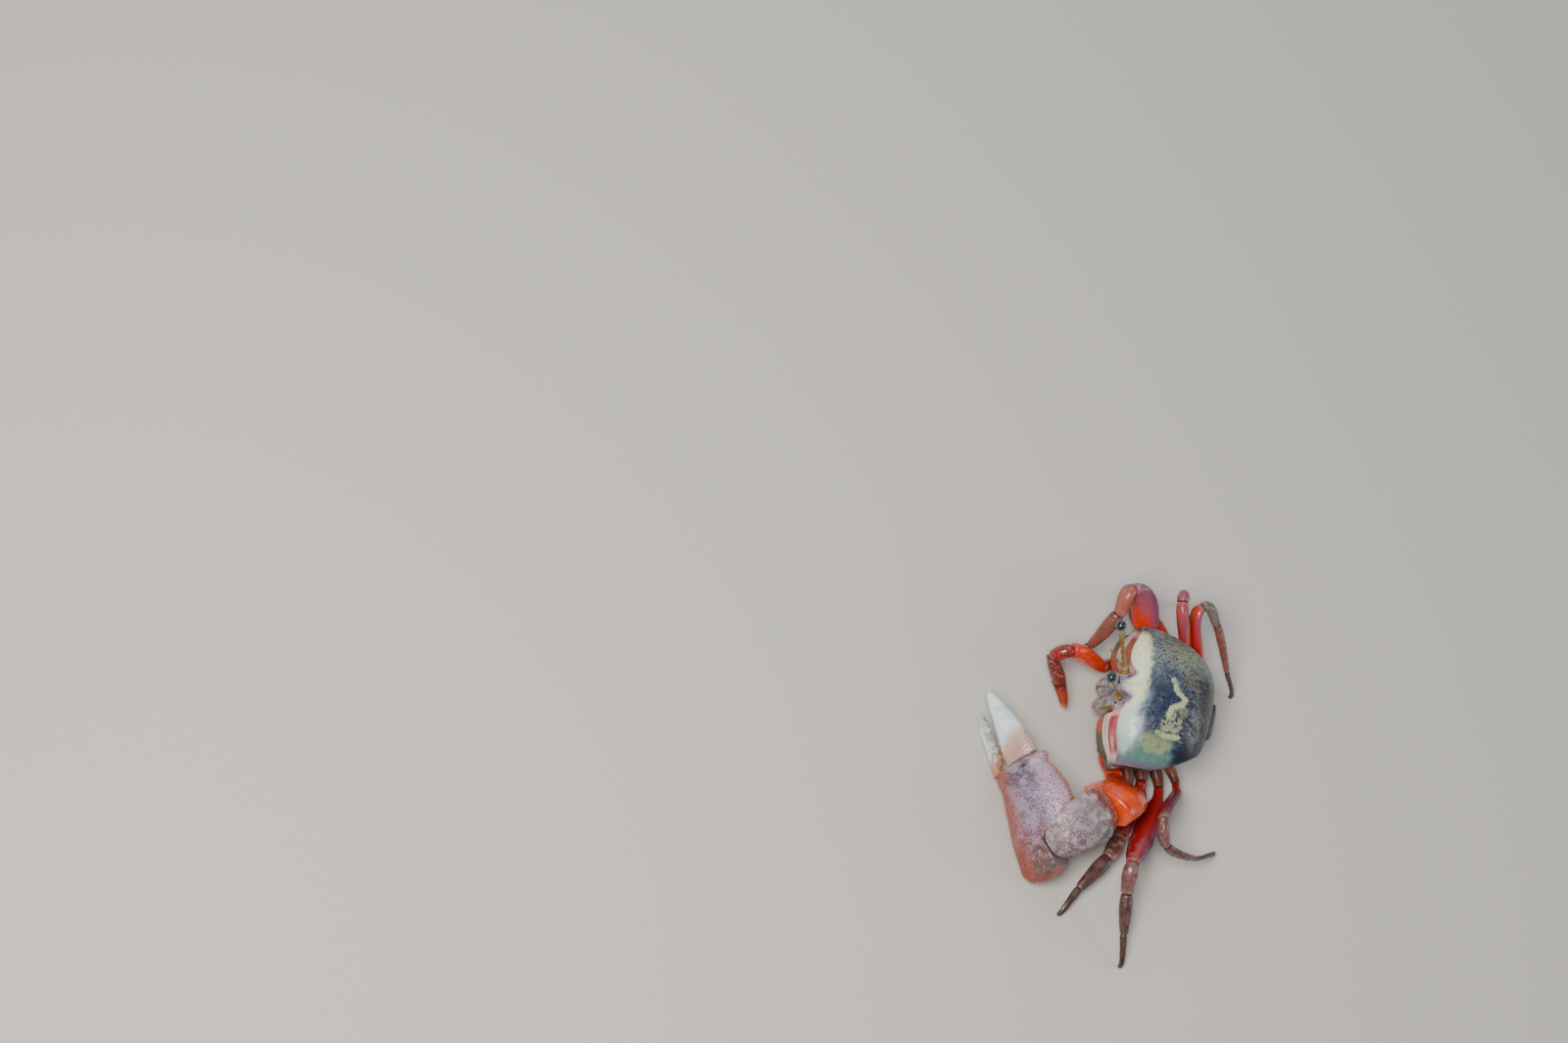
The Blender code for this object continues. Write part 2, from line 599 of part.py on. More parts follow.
# ---------------------------------------------------------------- eyes and feelers
EYESTALKS = (
    ("right", at(-2.7, -9.2, -0.5), Vector((-0.62, -0.52, 0.60))),
    ("left", at(2.5, -9.2, -0.5), Vector((0.05, -0.58, 0.81))),
)
FEELERS = (
    ("right", at(-4.1, -9.35, -2.2), Vector((-0.45, -0.75, 0.35))),
    ("left", at(4.1, -9.35, -2.2), Vector((0.45, -0.75, 0.35))),
)


def across(direction):
    """Any direction square to a given one."""
    return direction.cross(Vector((1, 0, 0))).normalized()


def rod(name, base, direction, stops, places, material, sides=10):
    """A straight round piece: stops are (place along it, diameter)."""
    side = across(direction)
    other = direction.cross(side)
    rings = []
    for place in places:
        radius = spline(stops, place) / 2
        ring = []
        for k in range(sides):
            angle = 2 * math.pi * k / sides
            out = side * math.cos(angle) + other * math.sin(angle)
            ring.append(base + direction * place + out * radius)
        rings.append(ring)
    return solid(name, rings, material)


def eye(side, base, direction, materials):
    """Stalk and cornea of one eye; the stalk widens at its foot and under the cornea."""
    direction = direction.normalized()
    top = STALK_LENGTH - 1.1
    rod(
        "eyestalk_" + side, base, direction,
        ((GAP, 1.9), (1.0, 1.75), (2.4, 1.15), (4.4, STALK_SLIM), (6.6, 0.9), (top - 0.6, 1.35), (top, 1.45)),
        (GAP, 0.8, 1.6, 2.6, 3.8, 5.2, 6.6, 7.7, top), materials["stalk"],
    )
    centre = base + direction * (top + GAP + 0.85)
    radius = EYE_DIAMETER / 2
    side_way = across(direction)
    other = direction.cross(side_way)
    rings = []
    for place in (-0.85, -0.6, -0.3, 0.05, 0.4, 0.7, 0.92):
        reach = math.sqrt(max(radius**2 - place**2, 0.0))
        ring = []
        for k in range(12):
            angle = 2 * math.pi * k / 12
            out = side_way * math.cos(angle) + other * math.sin(angle)
            ring.append(centre + direction * place + out * reach)
        rings.append(ring)
    rings.append([centre + direction * radius])
    solid("eye_" + side, rings, materials["eye"])


def feeler(side, base, direction, material):
    """Antenna: a short stout root and a tapered whip."""
    direction = direction.normalized()
    rod(
        "antenna_" + side, base, direction,
        ((GAP, 1.0), (1.2, 0.95), (1.6, 0.62), (3.4, 0.52), (5.0, 0.4)),
        (GAP, 1.2, 1.6, 3.4, 5.0), material, sides=8,
    )


# ---------------------------------------------------------------- mouthparts, breastplate and tail flap
def mouthpart(side, material):
    """Outer mouthpart: a swollen plate that closes its half of the mouth."""
    sign = 1 if side == "left" else -1
    back = MOUTH_WALL - GAP
    rings = []
    for t in (0.0, 0.04, 0.14, 0.27, 0.33, 0.37, 0.5, 0.66, 0.82, 0.94, 1.0):
        z = -2.9 - 7.7 * t
        inner = 0.15 + 0.5 * smooth(0.9, 1.0, t) + 0.4 * (1 - smooth(0.0, 0.1, t))
        outer = spline(((0, 3.3), (0.1, 4.0), (0.5, 4.25), (0.85, 3.7), (1, 2.4)), t)
        swell = spline(((0, 0.55), (0.14, 1.3), (0.33, 1.45), (0.6, 2.1), (0.85, 1.9), (1, 0.7)), t)
        swell -= 0.35 * math.exp(-(((t - 0.35) / 0.03) ** 2))
        half = [(inner, 0.0), (inner, 0.45)]
        for k in range(1, 7):
            share = k / 7
            half.append((inner + (outer - inner) * share, 0.35 + (swell - 0.35) * math.sin(math.pi * share)))
        half += [(outer, 0.35), (outer, 0.0)]
        rings.append([at(sign * x, back - depth, z) for x, depth in half])
    return solid("maxilliped_" + side, rings, material)


def sternum(material):
    """Breastplate with the ten hips of the limbs growing from its flanks."""
    outline = (
        (0.00, Vector((0.0, -7.2))), (0.15, Vector((3.2, -7.2))), (0.30, Vector((6.2, -6.4))),
        (0.45, Vector((8.0, -3.8))), (0.60, Vector((8.6, 0.6))), (0.75, Vector((7.8, 4.8))),
        (0.88, Vector((5.2, 7.6))), (1.00, Vector((0.0, 8.4))),
    )
    levels = ((SHELL_BOTTOM - GAP, 0.97), (-9.9, 1.0), (-10.8, 0.97), (-11.3, 0.86), (STERNUM_BOTTOM, 0.7))
    rings = []
    for z, reach in levels:
        half = []
        for k in range(15):
            p = spline(outline, k / 14) * reach
            half.append(at(max(p.x, 0.0), p.y, z))
        rings.append(whole_ring(half))
    plate = solid("sternum", rings, material)
    hips = []
    for side, legs in (("right", RIGHT_LEGS), ("left", LEFT_LEGS)):
        for number, joints in enumerate(legs, 1):
            root = hip_root(side, number)
            diameter = 0.42 * MERUS_WIDTH[number - 1]
            hips.append(hip(f"hip_{side}_{number}", root, joints[0], joints[1], diameter, material))
    hips.append(hip("hip_major", at(6.0, -5.4, COXA_LEVEL), CLAW_HIP, CLAW_ISCHIUM_END, 2.8, material))
    hips.append(hip("hip_minor", at(-6.0, -5.4, COXA_LEVEL), SMALL_HIP, SMALL_ISCHIUM_END, 2.2, material))
    join(plate, hips)
    return plate


def hip(name, root, joint, beyond, diameter, material):
    """Coxa: a short stout length from inside the breastplate to a limb's first joint."""
    axis = (joint - root).normalized()
    return article(
        name, (root, joint), (axis, joint_normal(root, joint, beyond)), UP,
        ((0, diameter * 1.35), (0.5, diameter * 1.25), (0.85, diameter * 1.08), (1, diameter)),
        ((0, diameter * 1.35), (0.5, diameter * 1.25), (0.85, diameter * 1.04), (1, diameter * 0.96)),
        material, sides=10, rings=4,
    )


def abdomen(material):
    """Narrow tail flap of a male: it leaves the rear margin and folds forward under the breastplate."""
    path = (
        (0.00, at(0, 11.35, -1.2)), (0.16, at(0, 11.2, -4.2)), (0.32, at(0, 10.3, -8.0)),
        (0.46, at(0, 8.7, -11.3)), (0.58, at(0, 5.6, -12.5)), (0.78, at(0, 1.0, -12.5)),
        (1.00, at(0, -4.2, -12.5)),
    )
    widths = ((0, 7.4), (0.2, 7.8), (0.45, 6.2), (0.7, 4.6), (0.9, 3.4), (1, 1.8))
    rings = []
    count = 24
    for r in range(count + 1):
        t = r / count
        here = spline(path, t)
        ahead = spline(path, min(t + 0.02, 1.0))
        behind = spline(path, max(t - 0.02, 0.0))
        along = (ahead - behind).normalized()
        out = Vector((1, 0, 0)).cross(along).normalized()
        half = spline(widths, t) / 2
        thick = 0.95 if r % 4 else 0.7
        section = ((-1, -0.5), (-0.55, -0.5), (0, -0.5), (0.55, -0.5), (1, -0.5), (1, 0.1), (0.55, 0.42),
                   (0, 0.5), (-0.55, 0.42), (-1, 0.1))
        ring = []
        for x, y in section:
            lift = y * 0.95 if y < 0 else -0.475 + (y + 0.5) * thick
            ring.append(here + Vector((1, 0, 0)) * x * half + out * lift)
        rings.append(ring)
    return solid("abdomen", rings, material)


# ---------------------------------------------------------------- the whole crab
def sockets(shell, material):
    """Bosses on the carapace's front that the eyestalks and feelers grow from."""
    pieces = []
    for side, base, direction in EYESTALKS:
        direction = direction.normalized()
        pieces.append(rod(
            "socket_eye_" + side, base, direction, ((-2.4, 2.0), (0.0, 1.9)), (-2.4, -1.2, 0.0), material,
        ))
    for side, base, direction in FEELERS:
        direction = direction.normalized()
        pieces.append(rod(
            "socket_feeler_" + side, base, direction, ((-1.6, 1.3), (0.0, 1.1)), (-1.6, 0.0), material,
            sides=8,
        ))
    join(shell, pieces)


def crab():
    shell = finish("shell", "#8C9AA0", 0.42)
    join_ready = carapace(shell)
    sockets(join_ready, shell)
    sternum(finish("underside", "#B5764F", 0.5))
    abdomen(finish("tail flap", "#C9BCB0", 0.5))
    mouth = finish("mouthparts", "#CFC7C4", 0.45)
    for side in ("left", "right"):
        mouthpart(side, mouth)
    eyes = {"stalk": finish("eyestalk", "#8A6B35", 0.4), "eye": finish("cornea", "#0D2A3A", 0.08)}
    for side, base, direction in EYESTALKS:
        eye(side, base, direction, eyes)
    for side, base, direction in FEELERS:
        feeler(side, base, direction, finish("feeler", "#B08A6A", 0.5))
    hand = finish("large hand", "#C48E93", 0.55)
    arm_paint = {
        "ischium": finish("large ischium", "#B5431B", 0.4),
        "merus": finish("large arm", "#E2501A", 0.3),
    }
    big_arm(arm_paint)
    big_carpus(finish("large carpus", "#BFA0A3", 0.5))
    big_hand(hand)
    big_dactyl(finish("porcelain finger", "#DDE6E4", 0.3))
    small_claw({
        "ischium": finish("small ischium", "#C2401C", 0.4), "merus": finish("small arm", "#E5420C", 0.35),
        "carpus": finish("small carpus", "#C4432A", 0.45), "manus": finish("small hand", "#B03A24", 0.45),
        "dactyl": finish("small finger", "#B5512F", 0.45),
    })
    legs = {
        "merus": finish("leg merus", "#C93A1E", 0.4), "carpus": finish("leg carpus", "#A8716B", 0.5),
        "propodus": finish("leg propodus", "#A0604F", 0.5), "dactyl": finish("leg dactyl", "#6E4A42", 0.5),
    }
    for side, joints in (("right", RIGHT_LEGS), ("left", LEFT_LEGS)):
        for number, points in enumerate(joints, 1):
            leg(side, number, points, legs)


def stand_on_origin():
    """Shifts every part so that the model's box stands on z = 0, centred over the origin."""
    corners = [v.co for obj in bpy.data.objects for v in obj.data.vertices]
    low = Vector([min(c[k] for c in corners) for k in range(3)])
    high = Vector([max(c[k] for c in corners) for k in range(3)])
    shift = Matrix.Translation(Vector((-(low.x + high.x) / 2, -(low.y + high.y) / 2, -low.z)))
    for obj in bpy.data.objects:
        obj.data.transform(shift)


for old in list(bpy.data.objects):
    bpy.data.objects.remove(old)
crab()
stand_on_origin()
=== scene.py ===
import math
import random

import bmesh
import bpy
import numpy as np
from mathutils import Matrix, Vector, noise
from mathutils.kdtree import KDTree


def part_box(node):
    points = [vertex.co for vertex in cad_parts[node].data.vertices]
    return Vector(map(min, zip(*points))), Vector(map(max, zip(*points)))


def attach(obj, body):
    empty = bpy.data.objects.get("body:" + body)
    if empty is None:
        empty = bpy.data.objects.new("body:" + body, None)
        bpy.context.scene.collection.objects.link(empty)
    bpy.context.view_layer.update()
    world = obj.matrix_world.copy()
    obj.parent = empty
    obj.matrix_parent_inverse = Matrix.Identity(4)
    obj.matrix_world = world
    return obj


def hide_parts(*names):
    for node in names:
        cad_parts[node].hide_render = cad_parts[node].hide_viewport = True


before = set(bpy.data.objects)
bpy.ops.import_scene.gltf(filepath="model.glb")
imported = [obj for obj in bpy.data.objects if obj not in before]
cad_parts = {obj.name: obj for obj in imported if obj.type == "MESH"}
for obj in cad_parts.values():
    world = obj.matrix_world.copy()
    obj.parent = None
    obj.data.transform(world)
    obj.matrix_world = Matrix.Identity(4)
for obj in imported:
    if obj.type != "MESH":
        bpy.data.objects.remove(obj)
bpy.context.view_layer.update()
random.seed(11)


# ================================================================ carapace
# The back shield, one plate of chalky shell under a thin glossy skin that holds the colour. It is domed,
# turns down over the flanks, and has two long troughs in front that the eyestalks can fold down into.
# Lengths are millimetres from the middle of the body: the crab faces -Y, its left is +X.
MM = 0.001
HALF_BREADTH = 15.0
FRONT_TIP = -9.7
REAR_EDGE = 10.6
DOME_TOP = 4.5
SHELL_BOTTOM = -9.0
MOUTH_HALF_WIDTH = 4.6
MOUTH_WALL = -8.7
CHEEK_SWELL = 1.6
# How far the dome falls from its top to the side, front and rear margins.
SIDE_FALL = 6.5
FRONT_FALL = 4.6
REAR_FALL = 4.5
shield_low, shield_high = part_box("carapace")
BODY = Vector((
    (shield_low.x + shield_high.x) / 2, shield_high.y - REAR_EDGE * MM, shield_high.z - DOME_TOP * MM
))
# Half of the margin in plan, front middle to rear middle.
MARGIN = (
    (0.00, (0.0, FRONT_TIP)), (0.04, (1.0, FRONT_TIP + 0.3)), (0.09, (1.7, -8.4)), (0.14, (2.6, -7.8)),
    (0.20, (4.2, -8.5)), (0.27, (6.2, -8.9)), (0.34, (8.6, -8.6)), (0.42, (11.4, -7.6)),
    (0.48, (13.6, -6.6)), (0.52, (HALF_BREADTH, -6.1)), (0.56, (14.9, -4.6)), (0.63, (14.7, -1.8)),
    (0.70, (14.1, 1.2)), (0.78, (12.4, 4.6)), (0.86, (9.8, 8.0)), (0.92, (7.2, 10.0)),
    (1.00, (0.0, REAR_EDGE)),
)
# Share of the way down the wall, and how far it stands in from the margin in front and at the flanks.
WALL = (
    (0.00, (0.0, 0.0)), (0.05, (0.45, 0.10)), (0.14, (1.30, 0.15)), (0.23, (1.50, 0.25)),
    (0.31, (0.30, 0.40)), (0.36, (-0.35, 0.60)), (0.52, (-0.55, 1.20)), (0.72, (-0.20, 2.40)),
    (0.88, (1.10, 3.70)), (1.00, (2.90, 5.00)),
)


def spline(stops, t):
    """Smooth curve through (t, value) stops; the values are numbers or arrays."""
    if t <= stops[0][0]:
        return np.asarray(stops[0][1], float)
    if t >= stops[-1][0]:
        return np.asarray(stops[-1][1], float)
    i = max(k for k in range(len(stops) - 1) if stops[k][0] <= t)
    t0, t1 = stops[i][0], stops[i + 1][0]
    p0, p1 = np.asarray(stops[i][1], float), np.asarray(stops[i + 1][1], float)
    before_t, before = stops[max(i - 1, 0)]
    after_t, after = stops[min(i + 2, len(stops) - 1)]
    slope0 = (p1 - np.asarray(before, float)) / (t1 - before_t)
    slope1 = (np.asarray(after, float) - p0) / (after_t - t0)
    span = t1 - t0
    u = (t - t0) / span
    rise = p0 * (2 * u**3 - 3 * u**2 + 1) + p1 * (3 * u**2 - 2 * u**3)
    return rise + (slope0 * (u**3 - 2 * u**2 + u) + slope1 * (u**3 - u**2)) * span


def smooth(low, high, value):
    """0 below low, 1 above high, an even rise between them."""
    t = np.clip((value - low) / (high - low), 0.0, 1.0)
    return t * t * (3 - 2 * t)


def line(value, middle, width):
    """1 where a value is at its middle, fading to 0 about two widths away."""
    return np.exp(-(((value - middle) / width) ** 2))


def loft(name, *shells):
    """One mesh of closed shells: four-sided faces through the rings, each end closed to its middle."""
    points, faces = [], []
    for rings in shells:
        rings = np.asarray(rings, float)
        first, count = len(points), rings.shape[1]
        last = first + (len(rings) - 1) * count
        points += list(rings.reshape(-1, 3)) + [rings[0].mean(0), rings[-1].mean(0)]
        around = [(k, (k + 1) % count) for k in range(count)]
        for start in range(first, last, count):
            faces += [(start + k, start + j, start + count + j, start + count + k) for k, j in around]
        faces += [(len(points) - 2, first + k, first + j) for k, j in around]
        faces += [(len(points) - 1, last + j, last + k) for k, j in around]
    mesh = bpy.data.meshes.new(name)
    mesh.from_pydata([BODY + Vector(p) * MM for p in points], [], faces)
    bm = bmesh.new()
    bm.from_mesh(mesh)
    bmesh.ops.recalc_face_normals(bm, faces=bm.faces[:])
    bm.to_mesh(mesh)
    bm.free()
    mesh.shade_smooth()
    obj = bpy.data.objects.new(name, mesh)
    bpy.context.scene.collection.objects.link(obj)
    return obj


def points_of(obj):
    """The mesh's points in the body's millimetres, and their normals."""
    count = len(obj.data.vertices)
    points = np.empty(count * 3)
    obj.data.vertices.foreach_get("co", points)
    normals = np.empty(count * 3)
    obj.data.vertices.foreach_get("normal", normals)
    return (points.reshape(-1, 3) - np.array(BODY)) / MM, normals.reshape(-1, 3)


def raise_skin(obj, heights):
    """Moves each point out along its normal by its height in millimetres."""
    points, normals = points_of(obj)
    moved = (points + normals * heights[:, None]) * MM + np.array(BODY)
    obj.data.vertices.foreach_set("co", moved.ravel())
    obj.data.update()


def mottle(points, size, seed=0.0, octaves=3):
    """Cloudy noise from 0 to 1 with blots of a given size in millimetres (or one size for each axis)."""
    scaled = points / np.asarray(size) + seed * 7.31
    values = [noise.fractal(p, 0.8, 2.0, octaves) for p in scaled.tolist()]
    return np.clip(0.5 + 0.55 * np.array(values), 0, 1)


def ink(code):
    """An sRGB hex colour as linear light."""
    channels = [int(code[k : k + 2], 16) / 255 for k in (1, 3, 5)]
    return np.array([c / 12.92 if c <= 0.04045 else ((c + 0.055) / 1.055) ** 2.4 for c in channels])


def coat(under, code, cover):
    """Lays a colour over the ones below, as thick as its cover."""
    cover = np.clip(cover, 0, 1)[:, None]
    return under * (1 - cover) + ink(code) * cover


def stroke(x, y, stops, width):
    """Cover of a brush line of a given half width through plan points."""
    gap = np.full(len(x), 1e9)
    for (ax, ay), (bx, by) in zip(stops, stops[1:]):
        dx, dy = bx - ax, by - ay
        t = np.clip(((x - ax) * dx + (y - ay) * dy) / (dx * dx + dy * dy), 0, 1)
        gap = np.minimum(gap, np.hypot(x - ax - t * dx, y - ay - t * dy))
    return 1 - smooth(width * 0.55, width, gap)


def blot(x, y, middle, reach, ragged):
    """Cover of a ragged oval blot; ragged is noise that eats into its edge."""
    gap = np.hypot((x - middle[0]) / reach[0], (y - middle[1]) / reach[1])
    return 1 - smooth(0.75, 1.1, gap + (ragged - 0.5) * 1.3)


def scatter(points, spacing, chosen):
    """Numbers of chosen points that lie at least a spacing apart, picked in a random order.

    spacing is one distance in millimetres for all points, or an array with each point's own.
    """
    spacing = np.broadcast_to(spacing, len(points))
    order = [int(i) for i in np.flatnonzero(chosen)]
    random.shuffle(order)
    cell = float(np.max(spacing))
    grid = {}
    picked = []
    for i in order:
        p = points[i]
        key = (int(p[0] // cell), int(p[1] // cell), int(p[2] // cell))
        near = (q for dx in (-1, 0, 1) for dy in (-1, 0, 1) for dz in (-1, 0, 1)
                for q in grid.get((key[0] + dx, key[1] + dy, key[2] + dz), ()))
        limit = spacing[i] ** 2
        if all((q[0] - p[0]) ** 2 + (q[1] - p[1]) ** 2 + (q[2] - p[2]) ** 2 > limit for q in near):
            picked.append(i)
            grid.setdefault(key, []).append(tuple(p))
    return picked


def beads(points, picked, radii, rises):
    """Height that round grains add to the points, and how near a grain's top each point is.

    radii and rises are one number for all the grains, or a list with each grain's own.
    """
    radii = np.broadcast_to(radii, len(picked))
    rises = np.broadcast_to(rises, len(picked))
    tree = KDTree(len(points))
    for i, p in enumerate(points.tolist()):
        tree.insert(p, i)
    tree.balance()
    heights = np.zeros(len(points))
    tops = np.zeros(len(points))
    for i, radius, rise in zip(picked, radii, rises):
        for _, j, gap in tree.find_range(points[i].tolist(), radius):
            bulge = math.sqrt(max(1 - (gap / radius) ** 2, 0))
            if rise * bulge > heights[j] if rise > 0 else rise * bulge < heights[j]:
                heights[j] = rise * bulge
                tops[j] = bulge
    return heights, tops


def pigment(obj, colours, **layers):
    """Stores the colour of each point, and named shares from 0 to 1, such as how much mud dulls it."""
    layer = obj.data.attributes.new("pigment", "FLOAT_COLOR", "POINT")
    layer.data.foreach_set("color", np.column_stack([np.clip(colours, 0, 1), np.ones(len(colours))]).ravel())
    for name, values in layers.items():
        layer = obj.data.attributes.new(name, "FLOAT", "POINT")
        layer.data.foreach_set("value", np.clip(values, 0, 1).astype(np.float32))


def add_node(tree, kind, settings=(), inputs=(), links=()):
    """Adds a node: its settings, the values of its sockets, and links (socket, from node, from socket)."""
    made = tree.nodes.new(kind)
    for key, value in dict(settings).items():
        setattr(made, key, value)
    for key, value in dict(inputs).items():
        made.inputs[key].default_value = value
    for key, source, output in links:
        tree.links.new(source.outputs[output], made.inputs[key])
    return made


def cuticle(name, gloss, coat_weight, grain_mm, relief_mm, depth=0.5, flesh=0.0, specks=()):
    """Crab shell: pigment in a hard skin, with fine grain, a thin clear surface layer, and dull mud.

    gloss is its roughness where clean, grain_mm the spacing of its fine grain, relief_mm that grain's
    height, depth how strongly the grain shades the colour, and flesh how much light goes through it.
    specks are rows of small spots: the layer that says where they lie, their size in mm, their colour.
    """
    material = bpy.data.materials.new(name)
    material.use_nodes = True
    tree = material.node_tree
    shader = tree.nodes["Principled BSDF"]
    coords = add_node(tree, "ShaderNodeTexCoord")
    colour = add_node(tree, "ShaderNodeAttribute", {"attribute_name": "pigment"})
    mud = add_node(tree, "ShaderNodeAttribute", {"attribute_name": "mud"})
    grain = add_node(
        tree, "ShaderNodeTexNoise", inputs={"Scale": 1000 / grain_mm / 2, "Detail": 4.0, "Roughness": 0.6},
        links=[("Vector", coords, "Object")],
    )
    cells = add_node(
        tree, "ShaderNodeTexVoronoi", {"feature": "SMOOTH_F1"}, {"Scale": 1000 / grain_mm, "Smoothness": 0.6},
        [("Vector", coords, "Object")],
    )
    shade = add_node(
        tree, "ShaderNodeMapRange",
        inputs={"From Min": 0.25, "From Max": 0.75, "To Min": 1 - depth, "To Max": 1 + depth * 0.6},
        links=[("Value", grain, "Fac")],
    )
    tint = add_node(
        tree, "ShaderNodeVectorMath", {"operation": "SCALE"},
        links=[("Vector", colour, "Color"), ("Scale", shade, "Result")],
    )
    painted, output = tint, "Vector"
    for layer, size, code in specks:
        where = add_node(tree, "ShaderNodeAttribute", {"attribute_name": layer})
        spots = add_node(
            tree, "ShaderNodeTexNoise", inputs={"Scale": 1000 / size / 1.6, "Detail": 2.0, "Roughness": 0.5},
            links=[("Vector", coords, "Object")],
        )
        spot = add_node(
            tree, "ShaderNodeMapRange", inputs={"From Min": 0.50, "From Max": 0.62},
            links=[("Value", spots, "Fac")],
        )
        cover = add_node(
            tree, "ShaderNodeMath", {"operation": "MULTIPLY"}, links=[(0, spot, "Result"), (1, where, "Fac")]
        )
        painted = add_node(
            tree, "ShaderNodeMix", {"data_type": "RGBA"}, {"B": (*ink(code), 1.0)},
            [("Factor", cover, 0), ("A", painted, output)],
        )
        output = "Result"
    dull = add_node(
        tree, "ShaderNodeMapRange", inputs={"To Min": gloss, "To Max": 0.88}, links=[("Value", mud, "Fac")]
    )
    worn = add_node(
        tree, "ShaderNodeMath", {"operation": "MULTIPLY_ADD"}, {1: 0.16, 2: -0.08}, [(0, grain, "Fac")]
    )
    rough = add_node(
        tree, "ShaderNodeMath", {"operation": "ADD", "use_clamp": True},
        links=[(0, dull, "Result"), (1, worn, 0)],
    )
    height = add_node(
        tree, "ShaderNodeMath", {"operation": "MULTIPLY_ADD"}, {1: -0.5},
        [(0, cells, "Distance"), (2, grain, "Fac")],
    )
    relief = add_node(
        tree, "ShaderNodeBump", inputs={"Distance": relief_mm * MM, "Strength": 0.7},
        links=[("Height", height, 0)],
    )
    tree.links.new(painted.outputs[output], shader.inputs["Base Color"])
    tree.links.new(rough.outputs[0], shader.inputs["Roughness"])
    tree.links.new(relief.outputs["Normal"], shader.inputs["Normal"])
    shader.inputs["IOR"].default_value = 1.52
    shader.inputs["Coat Weight"].default_value = coat_weight
    shader.inputs["Coat Roughness"].default_value = 0.14
    shader.inputs["Subsurface Weight"].default_value = flesh
    shader.inputs["Subsurface Radius"].default_value = (0.9, 0.5, 0.35)
    shader.inputs["Subsurface Scale"].default_value = 0.6 * MM
    return material


def place(obj, node, material):
    """Fixes a finished piece to the body in place of its plain solid."""
    obj.data.materials.clear()
    obj.data.materials.append(material)
    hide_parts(node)
    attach(obj, "root")


def dome(x, y):
    """Height of the back over its plan, with the shallow furrows that part its regions."""
    side = SIDE_FALL * (np.abs(x) / HALF_BREADTH) ** 2.6
    front = FRONT_FALL * (np.maximum(0.0, -y - 1.0) / (-FRONT_TIP - 1.0)) ** 2.4
    rear = REAR_FALL * (np.maximum(0.0, y) / REAR_EDGE) ** 3
    branchial = 0.35 * line(np.abs(x) - 4.6, 0.03 * (y - 1) ** 2, 0.9)
    branchial = branchial * smooth(-4.5, -2.5, y) * (1 - smooth(6.0, 8.5, y))
    gastric = 0.22 * line(y, 2.6, 0.8) * (1 - smooth(3.5, 6.0, np.abs(x)))
    brow = 0.10 * line(x, 0.0, 0.16) * (1 - smooth(-6.0, -5.0, y))
    return DOME_TOP - side - front - rear - branchial - gastric - brow


HALF_COUNT = 200
shares_round = np.linspace(0, 1, HALF_COUNT + 1)
edge = np.array([spline(MARGIN, u) for u in shares_round])
ahead = np.array([spline(MARGIN, min(u + 0.02, 1)) for u in shares_round])
behind = np.array([spline(MARGIN, max(u - 0.02, 0)) for u in shares_round])
along = (ahead - behind) / np.linalg.norm(ahead - behind, axis=1)[:, None]
inward = np.column_stack([-along[:, 1], along[:, 0]])
inward[:, 0] *= smooth(0.12, 0.30, shares_round)
middle_way = -edge / np.linalg.norm(edge, axis=1)[:, None]


def wall_row(share):
    """Half ring of the wall under the margin, a given share of the way down."""
    front_inset, flank_inset = spline(WALL, share)
    u = shares_round
    turn = smooth(0.36, 0.60, share)
    way = inward * (1 - turn) + middle_way * turn
    orbit = smooth(0.10, 0.17, u) * (1 - smooth(0.47, 0.53, u))
    nose = 1 - smooth(0.06, 0.12, u)
    cheek = 1 - smooth(0.49, 0.62, u)
    low = smooth(0.28, 0.36, share)
    front = np.maximum(orbit * (1 - low), cheek * low)
    inset = (front_inset * front + flank_inset * (1 - front)) * (1 - nose * (1 - low))
    swell = smooth(0.18, 0.26, u) * (1 - smooth(0.38, 0.49, u))
    inset = inset - CHEEK_SWELL * math.exp(-(((share - 0.62) / 0.2) ** 2)) * swell
    top = dome(edge[:, 0], edge[:, 1])
    under = nose * (1 - low) * smooth(0.06, 0.16, share)
    x = edge[:, 0] + way[:, 0] * inset
    y = edge[:, 1] + way[:, 1] * inset + 1.5 * under
    beside = smooth(MOUTH_HALF_WIDTH - 0.2, MOUTH_HALF_WIDTH + 0.9, np.abs(x))
    mouth = smooth(0.33, 0.36, share)
    y = y * (1 - mouth) + (np.maximum(y, MOUTH_WALL) * (1 - beside) + y * beside) * mouth
    return np.column_stack([np.maximum(x, 0.0), y, top + (SHELL_BOTTOM - top) * share])


def whole(half):
    """A ring from its left half."""
    right = half[-2:0:-1] * np.array([-1, 1, 1])
    return np.concatenate([half, right])


TOP_RINGS = 96
reaches = [math.sin(math.pi / 2 * k / TOP_RINGS) ** 0.9 for k in range(1, TOP_RINGS + 1)]
rows = []
for reach in reaches:
    rows.append(whole(np.column_stack([edge * reach, dome(edge[:, 0] * reach, edge[:, 1] * reach)])))
# The wall's rings lie closest together where the lips of the orbits are.
drops = [0.012, 0.03, *np.linspace(0.05, 0.25, 8), *np.linspace(0.262, 0.46, 24), *np.linspace(0.48, 1.0, 20)]
for drop in drops:
    rows.append(whole(wall_row(drop)))
EYESTALKS = (
    ("right", (-2.7, -9.2, -0.5), (-0.62, -0.52, 0.60)),
    ("left", (2.5, -9.2, -0.5), (0.05, -0.58, 0.81)),
)
FEELERS = (
    ("right", (-4.1, -9.35, -2.2), (-0.45, -0.75, 0.35)),
    ("left", (4.1, -9.35, -2.2), (0.45, -0.75, 0.35)),
)


def unit(vector):
    """The vector as an array of length 1."""
    vector = np.asarray(vector, float)
    return vector / np.linalg.norm(vector)


